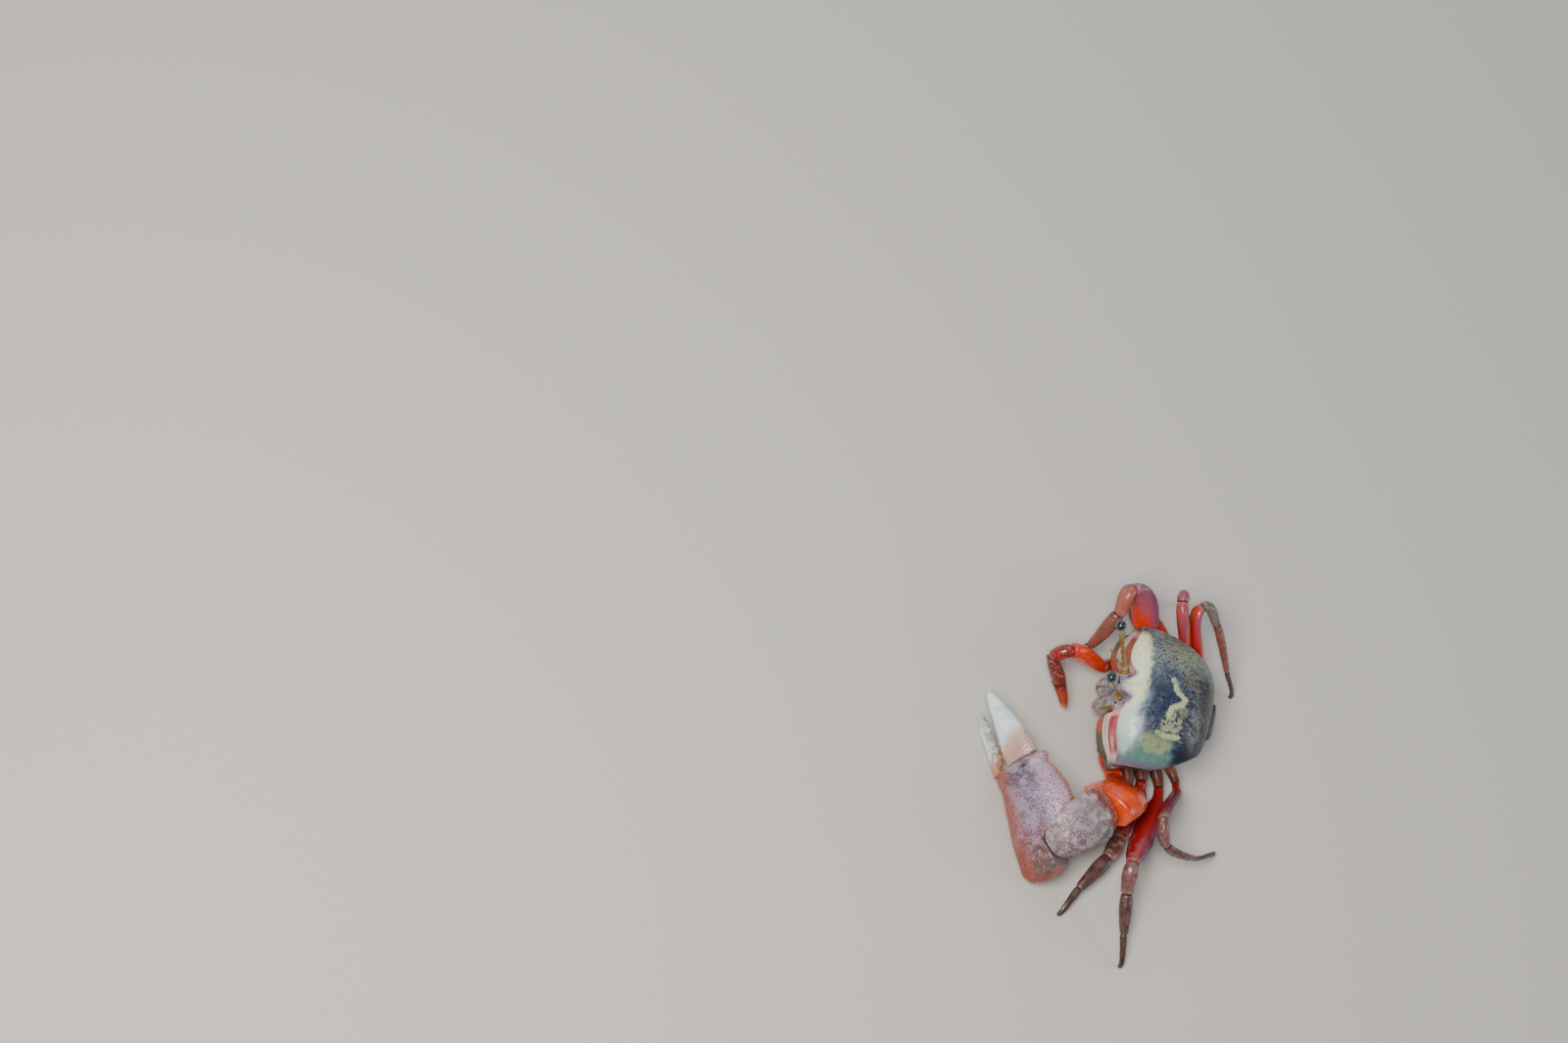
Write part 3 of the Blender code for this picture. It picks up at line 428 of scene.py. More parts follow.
def rod_rings(base, direction, stops, places, sides=40):
    """Rings of a straight round piece; stops are (place along it, diameter)."""
    direction = unit(direction)
    side = unit(np.cross(direction, (1.0, 0.0, 0.0)))
    other = np.cross(direction, side)
    angles = np.linspace(0, 2 * math.pi, sides, endpoint=False)
    circle = np.outer(np.cos(angles), side) + np.outer(np.sin(angles), other)
    return np.array([np.asarray(base) + direction * p + circle * spline(stops, p) / 2 for p in places])


EYE_SOCKET = ((-2.4, 2.0), (-0.5, 1.95), (-0.15, 2.1), (0.0, 1.9))
FEELER_SOCKET = ((-1.6, 1.3), (-0.3, 1.2), (0.0, 1.1))
sockets = [rod_rings(foot, way, EYE_SOCKET, np.linspace(-2.4, 0, 24)) for _, foot, way in EYESTALKS]
sockets += [rod_rings(foot, way, FEELER_SOCKET, np.linspace(-1.6, 0, 14)) for _, foot, way in FEELERS]
shield = loft("carapace_shell", rows, *sockets)
ring_u = np.concatenate([shares_round, shares_round[-2:0:-1]])
points = points_of(shield)[0]
x, y = points.T[:2]
socket_points = len(points) - len(rows) * len(ring_u) - 2
# Each point's place: u is its share of the margin, front to rear, and down its share of the wall, or less
# than 0 on the back. The sockets count as wall beside the front.
SOCKET_U = 0.11
SOCKET_DOWN = 0.2
u = np.concatenate([np.tile(ring_u, len(rows)), [0, 0], np.full(socket_points, SOCKET_U)])
down = np.concatenate([
    np.repeat([-1.0 + r for r in reaches] + drops, len(ring_u)), [-1, 1],
    np.full(socket_points, SOCKET_DOWN),
])
in_socket = np.arange(len(points)) >= len(points) - socket_points

# Relief: a beaded rim along the margin, a toothed lip and a groove under each orbit, and grainy cheeks.
arc = np.cumsum(np.concatenate([[0], np.linalg.norm(np.diff(edge, axis=0), axis=1)]))
length = np.interp(u, shares_round, arc)
rim = line(down, 0.0, 0.018) * smooth(0.13, 0.18, u) * (1 - smooth(0.80, 0.86, u))
relief = 0.04 * rim * np.cos(length * 2 * math.pi / 0.52) ** 2 - 0.10 * line(down, 0.0, 0.02)
orbit_reach = smooth(0.15, 0.21, u) * (1 - smooth(0.46, 0.51, u))
lip = line(down, 0.365, 0.014) * orbit_reach
relief += 0.20 * lip * (0.75 + 0.25 * np.abs(np.sin(length * math.pi / 0.62)))
relief += 0.12 * line(down, 0.425, 0.012) * orbit_reach
relief -= 0.12 * line(down, 0.395, 0.012) * orbit_reach
cheek = smooth(0.43, 0.47, down) * smooth(0.14, 0.19, u) * (1 - smooth(0.53, 0.60, u))
picked = scatter(points, 0.40, cheek > 0.4)
grains, cheek_tops = beads(points, picked, 0.2, 0.05)
relief += grains * cheek
soft = mottle(points, 2.4, 1)
relief += 0.05 * (soft - 0.5) * (down < 0.1)
fine = mottle(points, 0.45, 2)
relief += 0.018 * (fine - 0.5)
raise_skin(shield, relief)

# Colour of the back, from the ground up: navy, chalky grey-green towards the right, near-black behind,
# then the pale marks, the teal left corner and the cream band along the front.
blotch = mottle(points, 1.1, 3)
speck = mottle(points, 0.36, 4)
patch = mottle(points, 3.2, 5)
drift = (blotch - 0.5) * 2.4 + (patch - 0.5) * 3.0
back = np.tile(ink("#1A2340"), (len(x), 1))
back = coat(back, "#33455E", smooth(0.44, 0.62, blotch) * 0.55)
back = coat(back, "#4E5C6A", smooth(0.5, -5.0, x + drift) * 0.8)
back = coat(back, "#848E80", smooth(-3.0, -8.5, x + drift) * smooth(-6.2, -3.2, y + drift) * 0.9)
back = coat(back, "#9A9A72", blot(x, y, (-9.6, 1.6), (1.8, 2.4), blotch) * 0.5)
back = coat(back, "#6C7C84", smooth(0.0, -7.0, x) * smooth(-1.0, -5.5, y + drift * 0.5) * 0.6)
behind_it = smooth(3.0, 5.5, y + (blotch - 0.5) * 3) * smooth(-8.0, -4.5, x)
back = coat(back, "#10131D", behind_it * 0.9)
streaks = mottle(points, (0.28, 0.95, 0.95), 8)
rear = smooth(2.2, 3.8, y + (blotch - 0.5) * 2) * smooth(-6.5, -4.0, x) * smooth(11.5, 8.5, x + y * 0.3)
back = coat(back, "#8C9492", smooth(0.63, 0.72, streaks) * rear * (0.15 + 0.40 * smooth(8.5, 4.0, y)))
back = coat(back, "#6C6454", blot(x, y, (-4.4, 3.2), (2.3, 2.2), blotch) * 0.7)
island = smooth(0.36, 0.56, mottle(points, 0.62, 9))
back = coat(back, "#9EA27C", blot(x, y, (6.2, 0.9), (2.9, 2.2), 0.5 + (blotch - 0.5) * 0.7) * island)
back = coat(back, "#857A58", blot(x, y, (2.5, 2.1), (1.4, 1.4), blotch) * 0.7)
squiggle = ((-2.9, -0.7), (-0.7, 0.6), (0.2, 2.6), (1.4, 2.2), (2.8, 0.1), (4.4, -0.2))
wavy_x, wavy_y = x + (speck - 0.5) * 0.25, y + (blotch - 0.5) * 0.6
back = coat(back, "#BEC297", stroke(wavy_x, wavy_y, squiggle, 0.68) * 0.95)
hook = ((8.3, -1.4), (8.4, 0.8), (8.0, 2.9))
back = coat(back, "#BDC093", stroke(wavy_x, wavy_y, hook, 0.60) * 0.9)
gill = smooth(8.0, 10.0, x + (blotch - 0.5) * 1.4) * (1 - smooth(2.0, 4.0, y + (blotch - 0.5) * 2.0))
back = coat(back, "#5A857C", gill)
back = coat(back, "#98A06A", gill * blot(x, y, (9.9, -1.0), (2.2, 3.4), 0.5 + (blotch - 0.5) * 0.25) * 0.75)
back = coat(back, "#3B5354", gill * smooth(0.54, 0.72, blotch) * 0.3)
back = coat(back, "#66748A", gill * smooth(12.6, 14.6, x + (blotch - 0.5)) * 0.85)
edge_y = y + (blotch - 0.5) * 0.9 + (speck - 0.5) * 0.3 + 0.8 * smooth(1.5, 4.5, x) * smooth(9.5, 7.5, x)
across = smooth(-13.8, -11.6, x) * (1 - smooth(11.6, 13.8, x))
behind_band = smooth(-3.6, -5.4, edge_y) * smooth(-1.0, 2.5, x) * (1 - smooth(11.6, 13.8, x))
back = coat(back, "#86A0B4", behind_band * 0.75)
band = (1 - smooth(-6.1, -4.9, edge_y)) * across
back = coat(back, "#DEE4B4", band)
# A paler stripe along the band's middle is a painted highlight.
back = coat(back, "#F4FADC", band * line(y, -7.2, 1.0) * 0.8)
flush = band * smooth(0.60, 0.74, mottle(points, 1.6, 10)) * smooth(-6.6, -7.8, y)
back = coat(back, "#B98A72", flush * 0.35)
back = coat(back, "#C2DED2", band * smooth(2.0, 6.5, x) * 0.75)
back = coat(back, "#90B2AC", band * smooth(7.5, 11.5, x) * 0.7)
midline = line(x, -0.25, 0.08) * smooth(-5.4, -5.9, y)
back = coat(back, "#6E6248", midline * 0.7)
brow = np.maximum(smooth(-0.060, -0.045, down) * (u < 0.2), smooth(-9.5, -9.8, y) * (np.abs(x) < 2.2))
back = coat(back, "#C2C8D8", brow * 0.9)
back = coat(back, "#4A3A66", line(down, -0.022, 0.006) * (u < 0.2) * 0.6)
back = coat(back, "#6A4A72", 4 * brow * (1 - brow) * 0.6)

# Colour of the wall: pale rims round a crimson trough, grey-olive cheeks, orange-brown flanks.
left = smooth(-1, 1, x)
low_orbit = smooth(0.195, 0.225, u) * (1 - smooth(0.43, 0.47, u))
wall = np.tile(ink("#4E5058"), (len(x), 1))
wall = coat(wall, "#A04A22", smooth(0.22, 0.45, down) * smooth(0.50, 0.56, u) * (1 - smooth(0.84, 0.93, u)))
wall = coat(wall, "#525040", cheek)
wall = coat(wall, "#7C785E", cheek * smooth(0.5, 1.0, cheek_tops) * 0.4)
wall = coat(wall, "#B8502F", cheek * smooth(9.7, 7.2, np.abs(x) + (blotch - 0.5) * 2.2) * 0.78)
wall = coat(wall, "#A9A2B4", (1 - smooth(0.13, 0.18, u)) * (1 - smooth(0.36, 0.5, down)))
orbit_wall = orbit_reach * (1 - smooth(0.435, 0.46, down))
wall = coat(wall, "#D9BDB4", orbit_wall)
wall = coat(wall, "#C88478", orbit_reach * smooth(0.08, 0.16, down) * (1 - smooth(0.34, 0.35, down)) * 0.6)
slit_end = smooth(0.222, 0.245, u - np.abs(down - 0.26) * 0.3)
furrow = smooth(0.165, 0.190, down) * (1 - smooth(0.340, 0.352, down)) * low_orbit * slit_end
wall = coat(wall, "#9E0A26", furrow * left)
wall = coat(wall, "#7E3420", furrow * left * smooth(0.33, 0.42, u) * 0.8)
wall = coat(wall, "#9C5240", furrow * (1 - left) * smooth(0.24, 0.27, down))
wall = coat(wall, "#E2CFCB", line(down, 0.368, 0.012) * orbit_reach)
wall = coat(wall, "#5E3A68", line(down, 0.396, 0.010) * orbit_reach * 0.85)
wall = coat(wall, "#5A4A50", line(down, 0.450, 0.010) * orbit_reach * 0.7)
wall = coat(wall, "#3A3E50", smooth(0.60, 0.72, blotch) * (down > 0.0) * (u > 0.55) * 0.5)
wall = coat(wall, "#BDB8CC", in_socket * 0.9)
stalk_rims = np.zeros(len(x))
for _, foot, way in EYESTALKS:
    up_it = (points - np.asarray(foot)) @ unit(way)
    stalk_rims = np.maximum(stalk_rims, in_socket * line(up_it, -0.35, 0.14))
wall = coat(wall, "#3A3050", stalk_rims * 0.8)
turned = smooth(-0.004, 0.010, down)[:, None]
colours = back * (1 - turned) + wall * turned
colours = coat(colours, "#C9C6A4", rim * smooth(0.40, 0.2, np.abs(u - 0.33)) * 0.35)
corner_edge = smooth(-0.10, -0.02, down) * smooth(0.10, 0.02, down) * smooth(11.5, 13.5, x)
colours = coat(colours, "#6A6274", corner_edge * 0.7)
mud = smooth(-5.0, -10.0, x) * 0.45 * blotch + smooth(0.5, 0.9, down) * 0.6 + cheek * 0.4
colours = coat(colours, "#6E6A58", smooth(0.62, 0.74, patch) * smooth(0.45, 0.9, down) * 0.5)
on_back = 1 - smooth(-0.02, 0.0, down)
bare = (1 - band) * (1 - gill) * on_back
dark_specks = bare * (smooth(1.0, -4.0, x) * 0.75 + 0.12)
pale_specks = bare * smooth(9.5, 7.0, x) * smooth(-9.0, -3.0, x) * (0.10 + 0.3 * smooth(0.48, 0.62, patch))
pigment(shield, colours, mud=mud, dark_specks=dark_specks, pale_specks=pale_specks)
# Calcified shell with a waxy skin: a soft wet sheen, pores about 0.2 mm apart, drawn a little coarse.
shell_skin = cuticle(
    "calcified carapace cuticle", 0.40, 0.28, 0.22, 0.020, depth=0.25,
    specks=(("pale_specks", 0.24, "#8E9A9C"), ("dark_specks", 0.30, "#1E2436")),
)
place(shield, "carapace", shell_skin)


# ================================================================ eyestalks and eyes
# Two long slim stalks of thin amber shell, each standing in a socket beside the narrow front. The cornea
# caps the end: thousands of facets, too fine to see, under one glossy dark skin.
EYE_DIAMETER = 2.1
EYE_SIDES = 64
EYE_RINGS = 40
EYE_CUT = -0.9
STALK_LENGTH = 10.3
STALK_SLIM = 0.85
GAP = 0.3
# Thin shell over flesh: amber, faintly see-through, with a wet sheen.
stalk_skin = cuticle("amber eyestalk cuticle", 0.30, 0.5, 0.16, 0.012, depth=0.30, flesh=0.15)

# The cornea's skin is smooth and nearly black-green; under it the facets give a faint bloom.
cornea_skin = bpy.data.materials.new("glossy cornea")
cornea_skin.use_nodes = True
cornea_tree = cornea_skin.node_tree
cornea_shader = cornea_tree.nodes["Principled BSDF"]
cornea_place = add_node(cornea_tree, "ShaderNodeTexCoord")
facets = add_node(
    cornea_tree, "ShaderNodeTexVoronoi", inputs={"Scale": 1000 / 0.09},
    links=[("Vector", cornea_place, "Object")],
)
bloom = add_node(
    cornea_tree, "ShaderNodeTexNoise", inputs={"Scale": 900.0, "Detail": 2.0},
    links=[("Vector", cornea_place, "Object")],
)
cornea_mix = add_node(
    cornea_tree, "ShaderNodeMix", {"data_type": "RGBA"},
    {"A": (*ink("#030D14"), 1.0), "B": (*ink("#0A3644"), 1.0)}, [("Factor", bloom, "Fac")],
)
facet_relief = add_node(
    cornea_tree, "ShaderNodeBump", inputs={"Distance": 0.004 * MM, "Strength": 0.4},
    links=[("Height", facets, "Distance")],
)
cornea_tree.links.new(cornea_mix.outputs["Result"], cornea_shader.inputs["Base Color"])
cornea_tree.links.new(facet_relief.outputs["Normal"], cornea_shader.inputs["Normal"])
cornea_shader.inputs["Roughness"].default_value = 0.22
cornea_shader.inputs["Coat Weight"].default_value = 1.0
cornea_shader.inputs["Coat Roughness"].default_value = 0.04

stalk_top = STALK_LENGTH - 1.1
STALK_STOPS = (
    (GAP - 0.4, 1.9), (GAP, 1.9), (1.0, 1.75), (2.4, 1.15), (4.4, STALK_SLIM), (6.6, 0.9),
    (stalk_top - 0.6, 1.35), (stalk_top, 1.45), (stalk_top + 0.5, 1.2),
)
for side, foot, way in EYESTALKS:
    way = unit(way)
    places = list(np.arange(GAP - 0.35, stalk_top + 0.45, 0.11))
    stalk = loft("eyestalk_" + side + "_peduncle", rod_rings(foot, way, STALK_STOPS, places))
    points = points_of(stalk)[0]
    up_stalk = (points - np.asarray(foot)) @ way
    ridges = mottle(points, 1.1, 21)
    relief = 0.05 * (ridges - 0.5) - 0.06 * line(up_stalk, 1.35, 0.12)
    relief -= 0.05 * line(up_stalk - stalk_top, -0.15, 0.10)
    raise_skin(stalk, relief)
    amber = np.tile(ink("#8A6A2C"), (len(points), 1))
    amber = coat(amber, "#B5935A", smooth(3.2, 0.6, up_stalk) * 0.55)
    amber = coat(amber, "#5E4A24", smooth(0.52, 0.66, mottle(points, (0.5, 0.5, 1.4), 22)) * 0.7)
    amber = coat(amber, "#7E8A78", smooth(stalk_top - 2.2, stalk_top - 0.2, up_stalk) * 0.6)
    amber = coat(amber, "#C9C2B4", line(up_stalk, 1.35, 0.16) * 0.35)
    pigment(stalk, amber, mud=0.15 * ridges)
    place(stalk, "eyestalk_" + side, stalk_skin)

    # The cornea is a ball cut flat below, where it sits over the stalk's end.
    eye_radius = EYE_DIAMETER / 2
    tilts = np.linspace(math.acos(EYE_CUT / eye_radius), 0.02, EYE_RINGS)
    ball = [(eye_radius * math.cos(t), EYE_DIAMETER * math.sin(t)) for t in tilts]
    eye_middle = np.asarray(foot) + way * (stalk_top + GAP + 0.85)
    eye_rings = rod_rings(eye_middle, way, ball, [height for height, _ in ball], EYE_SIDES)
    cornea = loft("eye_" + side + "_cornea", eye_rings)
    place(cornea, "eye_" + side, cornea_skin)


# ================================================================ feelers
# The two antennae beside the eyestalks: a short stout root of three pieces, then a whip of many small
# rings that tapers to a hair. Thin yellow-brown shell, darker where two rings meet.
FEELER_STOPS = (
    (GAP, 1.0), (0.7, 1.02), (1.2, 0.92), (1.5, 0.64), (3.4, 0.46), (4.7, 0.26), (5.0, 0.16),
)
feeler_skin = cuticle("thin antenna cuticle", 0.42, 0.25, 0.15, 0.008, depth=0.25, flesh=0.1)
for side, foot, way in FEELERS:
    way = unit(way)
    whip = loft(
        "antenna_" + side + "_whip", rod_rings(foot, way, FEELER_STOPS, np.arange(GAP - 0.3, 5.01, 0.05), 28)
    )
    points = points_of(whip)[0]
    up_whip = (points - np.asarray(foot)) @ way
    ring_step = np.where(up_whip < 1.5, 0.42, 0.26)
    waist = np.abs(np.sin(up_whip / ring_step * math.pi)) ** 0.5
    raise_skin(whip, 0.035 * (waist - 0.6))
    tone = np.tile(ink("#8C6A44"), (len(points), 1))
    tone = coat(tone, "#4E3826", (1 - waist) * 0.9)
    tone = coat(tone, "#C9B9A4", smooth(1.5, 0.5, up_whip) * 0.5)
    pigment(whip, tone, mud=0.1 * waist)
    place(whip, "antenna_" + side, feeler_skin)


# ================================================================ outer mouthparts
# The pair of third maxillipeds, two swollen plates of pale shell that close the mouth like doors. A seam
# parts each into its two lengths, and a groove runs down the lower one.
MOUTH_TOP = -2.9
MOUTH_HEIGHT = 7.7
OUTER_EDGE = ((0, 3.3), (0.1, 4.0), (0.5, 4.25), (0.85, 3.7), (1, 2.4))
SWELL = ((0, 0.55), (0.14, 1.3), (0.33, 1.45), (0.6, 2.1), (0.85, 1.9), (1, 0.7))
mouth_skin = cuticle("pale mouthpart cuticle", 0.38, 0.35, 0.2, 0.014, depth=0.22, flesh=0.1)
for side, sign in (("left", 1), ("right", -1)):
    rings = []
    for t in np.linspace(0, 1, 72):
        inner = 0.15 + 0.5 * smooth(0.9, 1.0, t) + 0.4 * (1 - smooth(0.0, 0.1, t))
        outer = float(spline(OUTER_EDGE, t))
        swell = float(spline(SWELL, t)) - 0.45 * math.exp(-(((t - 0.35) / 0.018) ** 2))
        share = np.linspace(0, 1, 44)
        bulge = 0.35 + (swell - 0.35) * np.sin(math.pi * share) ** 0.8
        bulge = bulge - 0.16 * line(share, 0.30, 0.05) * smooth(0.40, 0.46, t)
        row_x = np.concatenate([[inner, inner], inner + (outer - inner) * share, [outer, outer]])
        row_y = np.concatenate([[0.0, 0.2], bulge, [0.2, 0.0]])
        row_z = np.full(len(row_x), MOUTH_TOP - MOUTH_HEIGHT * t)
        rings.append(np.column_stack([sign * row_x, MOUTH_WALL - GAP - row_y, row_z]))
    plate = loft("maxilliped_" + side + "_plates", rings)
    points = points_of(plate)[0]
    aside = np.abs(points[:, 0])
    drop = (MOUTH_TOP - points[:, 2]) / MOUTH_HEIGHT
    # The three brush lines are laid out on a plate 8 units high.
    lower = drop * 8
    blotch = mottle(points, 0.9, 31)
    raise_skin(plate, 0.03 * (mottle(points, 0.35, 32) - 0.5))
    tone = np.tile(ink("#7E7C80"), (len(points), 1))
    tone = coat(tone, "#ABA9A8", smooth(0.45, 0.62, blotch) * 0.8)
    tone = coat(tone, "#4E2A44", line(drop, 0.35, 0.022) * 0.8)
    tone = coat(tone, "#6A3248", stroke(aside, lower, ((1.2, 3.4), (1.5, 5.5), (1.2, 7.4)), 0.24) * 0.85)
    tone = coat(tone, "#6E2E46", stroke(aside, lower, ((0.9, 0.4), (1.9, 1.4), (3.1, 1.9)), 0.26) * 0.85)
    tone = coat(tone, "#7A4E70", stroke(aside, lower, ((2.5, 3.2), (2.9, 5.0), (2.4, 7.0)), 0.30) * 0.6)
    tone = coat(tone, "#A0613A", smooth(0.66, 0.92, drop) * 0.7 * (0.4 + blotch))
    tone = coat(tone, "#8C7E62", smooth(3.0, 4.0, aside) * 0.75)
    pigment(plate, tone, mud=0.25 * blotch)
    place(plate, "maxilliped_" + side, mouth_skin)


# ================================================================ breastplate and hips
# The shield of fused plates between the legs, with the ten short hip pieces that turn in its flanks. Hard
# orange-brown shell, crossed by the shallow seams of the body's segments.
STERNUM_BOTTOM = -11.6
COXA = -10.9
PLATE_OUTLINE = (
    (0.00, (0.0, -7.2)), (0.15, (3.2, -7.2)), (0.30, (6.2, -6.4)), (0.45, (8.0, -3.8)), (0.60, (8.6, 0.6)),
    (0.75, (7.8, 4.8)), (0.88, (5.2, 7.6)), (1.00, (0.0, 8.4)),
)
PLATE_LEVELS = (
    (0.0, (SHELL_BOTTOM - GAP, 0.97)), (0.25, (-9.9, 1.0)), (0.6, (-10.8, 0.97)), (0.8, (-11.3, 0.86)),
    (1.0, (STERNUM_BOTTOM, 0.7)),
)
# Walking legs, front to rear: hip, knee, wrist, ankle and tip, and the direction of their breadth.
FLOOR = -14.2
FORE_AFT = (0, 0.93, 0.36)
SLANTED = (0, 0.45, 0.89)
LEVEL = (0, 1.0, 0.1)
ON_EDGE = (1.0, 0, 0.4)
LEGS = {
    "right": (
        ((-12.6, -1.6, COXA), (-19.4, -11.7, 1.2), (-14.8, -12.4, -2.0), (-9.4, -14.2, -8.8),
         (-7.2, -17.6, FLOOR), FORE_AFT),
        ((-13.0, 3.8, COXA), (-21.4, -6.4, -9.2), (-24.2, -6.0, -11.2), (-22.6, -1.4, -12.5),
         (-20.8, 2.4, FLOOR), LEVEL),
        ((-13.0, 7.0, COXA), (-19.3, -2.0, 3.9), (-22.0, -0.2, 0.0), (-24.3, 2.5, -7.2),
         (-27.1, 5.4, FLOOR), ON_EDGE),
        ((-10.8, 10.6, COXA), (-21.4, 3.7, 0.8), (-20.4, 8.6, -2.0), (-14.6, 15.4, -8.1),
         (-12.6, 19.8, FLOOR), ON_EDGE),
    ),
    "left": (
        ((15.0, 0.4, -11.4), (24.0, -9.0, -12.4), (28.6, -10.4, -12.3), (33.8, -10.6, -12.5),
         (36.4, -11.2, FLOOR), LEVEL),
        ((13.0, 3.3, COXA), (25.9, 1.4, -11.6), (31.0, -0.6, -10.6), (38.7, -4.7, -11.8),
         (44.2, -6.8, FLOOR), LEVEL),
        ((13.0, 7.2, COXA), (33.1, 2.0, -3.9), (38.2, 3.4, -7.0), (45.0, 5.9, -10.4),
         (50.0, 8.0, FLOOR), FORE_AFT),
        ((10.8, 10.6, COXA), (22.9, 5.6, -1.9), (26.9, 8.3, -3.9), (25.0, 17.0, -9.3),
         (20.6, 22.7, FLOOR), SLANTED),
    ),
}
LEG_ROOTS = ((7.0, -2.6), (7.2, 0.8), (7.0, 4.2), (6.0, 6.8))
MERUS_WIDTH = (5.3, 5.4, 4.8, 4.0)
MERUS_THICKNESS = (2.7, 2.7, 2.6, 2.2)
CLAW_HIP = (10.0, -5.6, COXA)
CLAW_ISCHIUM_END = (14.6, -2.8, -10.1)
SMALL_HIP = (-8.2, -7.2, COXA)
SMALL_ISCHIUM_END = (-6.5, -10.4, -9.6)


def joint_plane(before, joint, after, portion=0.5):
    """Normal of the plane that parts two lengths of a limb; portion is the part of the bend it takes."""
    into = unit(np.subtract(joint, before))
    out = unit(np.subtract(after, joint))
    return unit(into * (1 - portion) + out * portion)


def limb(ends, planes, broad, widths, thicknesses, swing=1.0, gaps=(GAP / 2, GAP / 2), sides=48, step=0.15,
         plug=0.45):
    """Rings of one length of a limb between two joints, with how far along and which way round each point is.

    Its near end is drawn in and reaches past the joint by the plug, into the end of the length before.
    """
    start = np.asarray(ends[0], float) + planes[0] * gaps[0]
    end = np.asarray(ends[1], float) - planes[1] * gaps[1]
    span = np.linalg.norm(end - start)
    reach = span * swing
    count = max(int(span / step), 14)
    angles = 2 * math.pi * (np.arange(sides) + 0.5) / sides
    wide = np.asarray(broad, float)
    rings, shares = [], []
    for r in range(count + 1):
        t = r / count
        middle = start * (2 * t**3 - 3 * t**2 + 1) + end * (3 * t**2 - 2 * t**3)
        middle = middle + planes[0] * reach * (t**3 - 2 * t**2 + t) + planes[1] * reach * (t**3 - t**2)
        forward = (start - end) * (6 * t**2 - 6 * t) + planes[0] * reach * (3 * t**2 - 4 * t + 1)
        forward = unit(forward + planes[1] * reach * (3 * t**2 - 2 * t))
        wide = unit(wide - forward * (wide @ forward))
        thin = np.cross(forward, wide)
        near = t * span
        far = (1 - t) * span
        shoulder = 1 - 0.10 * (1 - smooth(0.0, 0.55, near)) * (plug > 0) - 0.09 * (1 - smooth(0.0, 0.22, far))
        half_wide = float(spline(widths, t)) / 2 * shoulder
        half_thin = float(spline(thicknesses, t)) / 2 * shoulder
        breadth = np.outer(np.cos(angles), wide) * half_wide
        depth = np.outer(np.sin(angles), thin) * half_thin
        if r == 0 and plug > 0:
            for back, draw in ((plug, 0.50), (plug * 0.75, 0.68), (plug * 0.4, 0.84)):
                rings.append(middle - planes[0] * back + draw * (breadth + depth))
                shares.append(-back / span)
        rings.append(middle + breadth + depth)
        shares.append(t)
    share = np.concatenate([np.repeat(shares, sides), [shares[0], 1.0]])
    turn = np.concatenate([np.tile(angles, len(rings)), [0.0, 0.0]])
    return np.array(rings), share, turn


def hip_rings(root, joint, beyond, diameter):
    """Rings of a short hip piece from inside the breastplate to a limb's first joint."""
    axis = unit(np.subtract(joint, root))
    swell = ((0, diameter * 1.35), (0.5, diameter * 1.25), (0.85, diameter * 1.08), (1, diameter))
    squat = ((0, diameter * 1.35), (0.5, diameter * 1.25), (0.85, diameter * 1.04), (1, diameter * 0.96))
    return limb((root, joint), (axis, joint_plane(root, joint, beyond)), (0, 0, 1), swell, squat, plug=0)[0]


plate_half = [spline(PLATE_OUTLINE, k / 90) for k in range(91)]
plate_rings = []
for t in [*np.linspace(0, 0.96, 26), 1.0]:
    level, reach = spline(PLATE_LEVELS, t)
    plate_rings.append(whole(np.array([(p[0] * reach, p[1] * reach, level) for p in plate_half])))
for reach in (0.6, 0.45, 0.3, 0.15):
    plate_rings.append(whole(np.array([(p[0] * reach, p[1] * reach, STERNUM_BOTTOM) for p in plate_half])))
hips = []
for side, legs in LEGS.items():
    for number, joints in enumerate(legs, 1):
        root_x, root_y = LEG_ROOTS[number - 1]
        root = (root_x if side == "left" else -root_x, root_y, COXA)
        hips.append(hip_rings(root, joints[0], joints[1], 0.42 * MERUS_WIDTH[number - 1]))
hips.append(hip_rings((6.0, -5.4, COXA), CLAW_HIP, CLAW_ISCHIUM_END, 2.8))
hips.append(hip_rings((-6.0, -5.4, COXA), SMALL_HIP, SMALL_ISCHIUM_END, 2.2))
plate = loft("sternum_plate_and_hips", plate_rings, *hips)
points = points_of(plate)[0]
px, py = np.abs(points[:, 0]), points[:, 1]
seams = np.zeros(len(points))
for seam in (-4.6, -1.2, 2.2, 5.4):
    seams = np.maximum(seams, line(py - seam, -0.12 * px, 0.16))
middle = line(px, 0.0, 0.18)
on_plate = smooth(9.4, 8.4, px)
soft = mottle(points, 1.4, 41)
raise_skin(plate, -0.10 * np.maximum(seams, middle) * on_plate + 0.03 * (soft - 0.5))
tone = np.tile(ink("#A05E38"), (len(points), 1))
tone = coat(tone, "#B98E6E", smooth(0.5, 0.7, soft) * 0.6)
# The hip pieces beyond the plate's edge are painted near-black red-brown: painted shade under the body.
tone = coat(tone, "#4E160A", smooth(8.0, 10.0, px) * 0.9)
tone = coat(tone, "#6E4638", np.maximum(seams, middle) * on_plate * 0.8)
tone = coat(tone, "#6F6557", smooth(0.58, 0.72, mottle(points, 2.2, 42)) * on_plate * 0.6)
pigment(plate, tone, mud=0.5 * soft)
plate_skin = cuticle("breastplate cuticle", 0.45, 0.2, 0.25, 0.02, depth=0.3)
place(plate, "sternum", plate_skin)


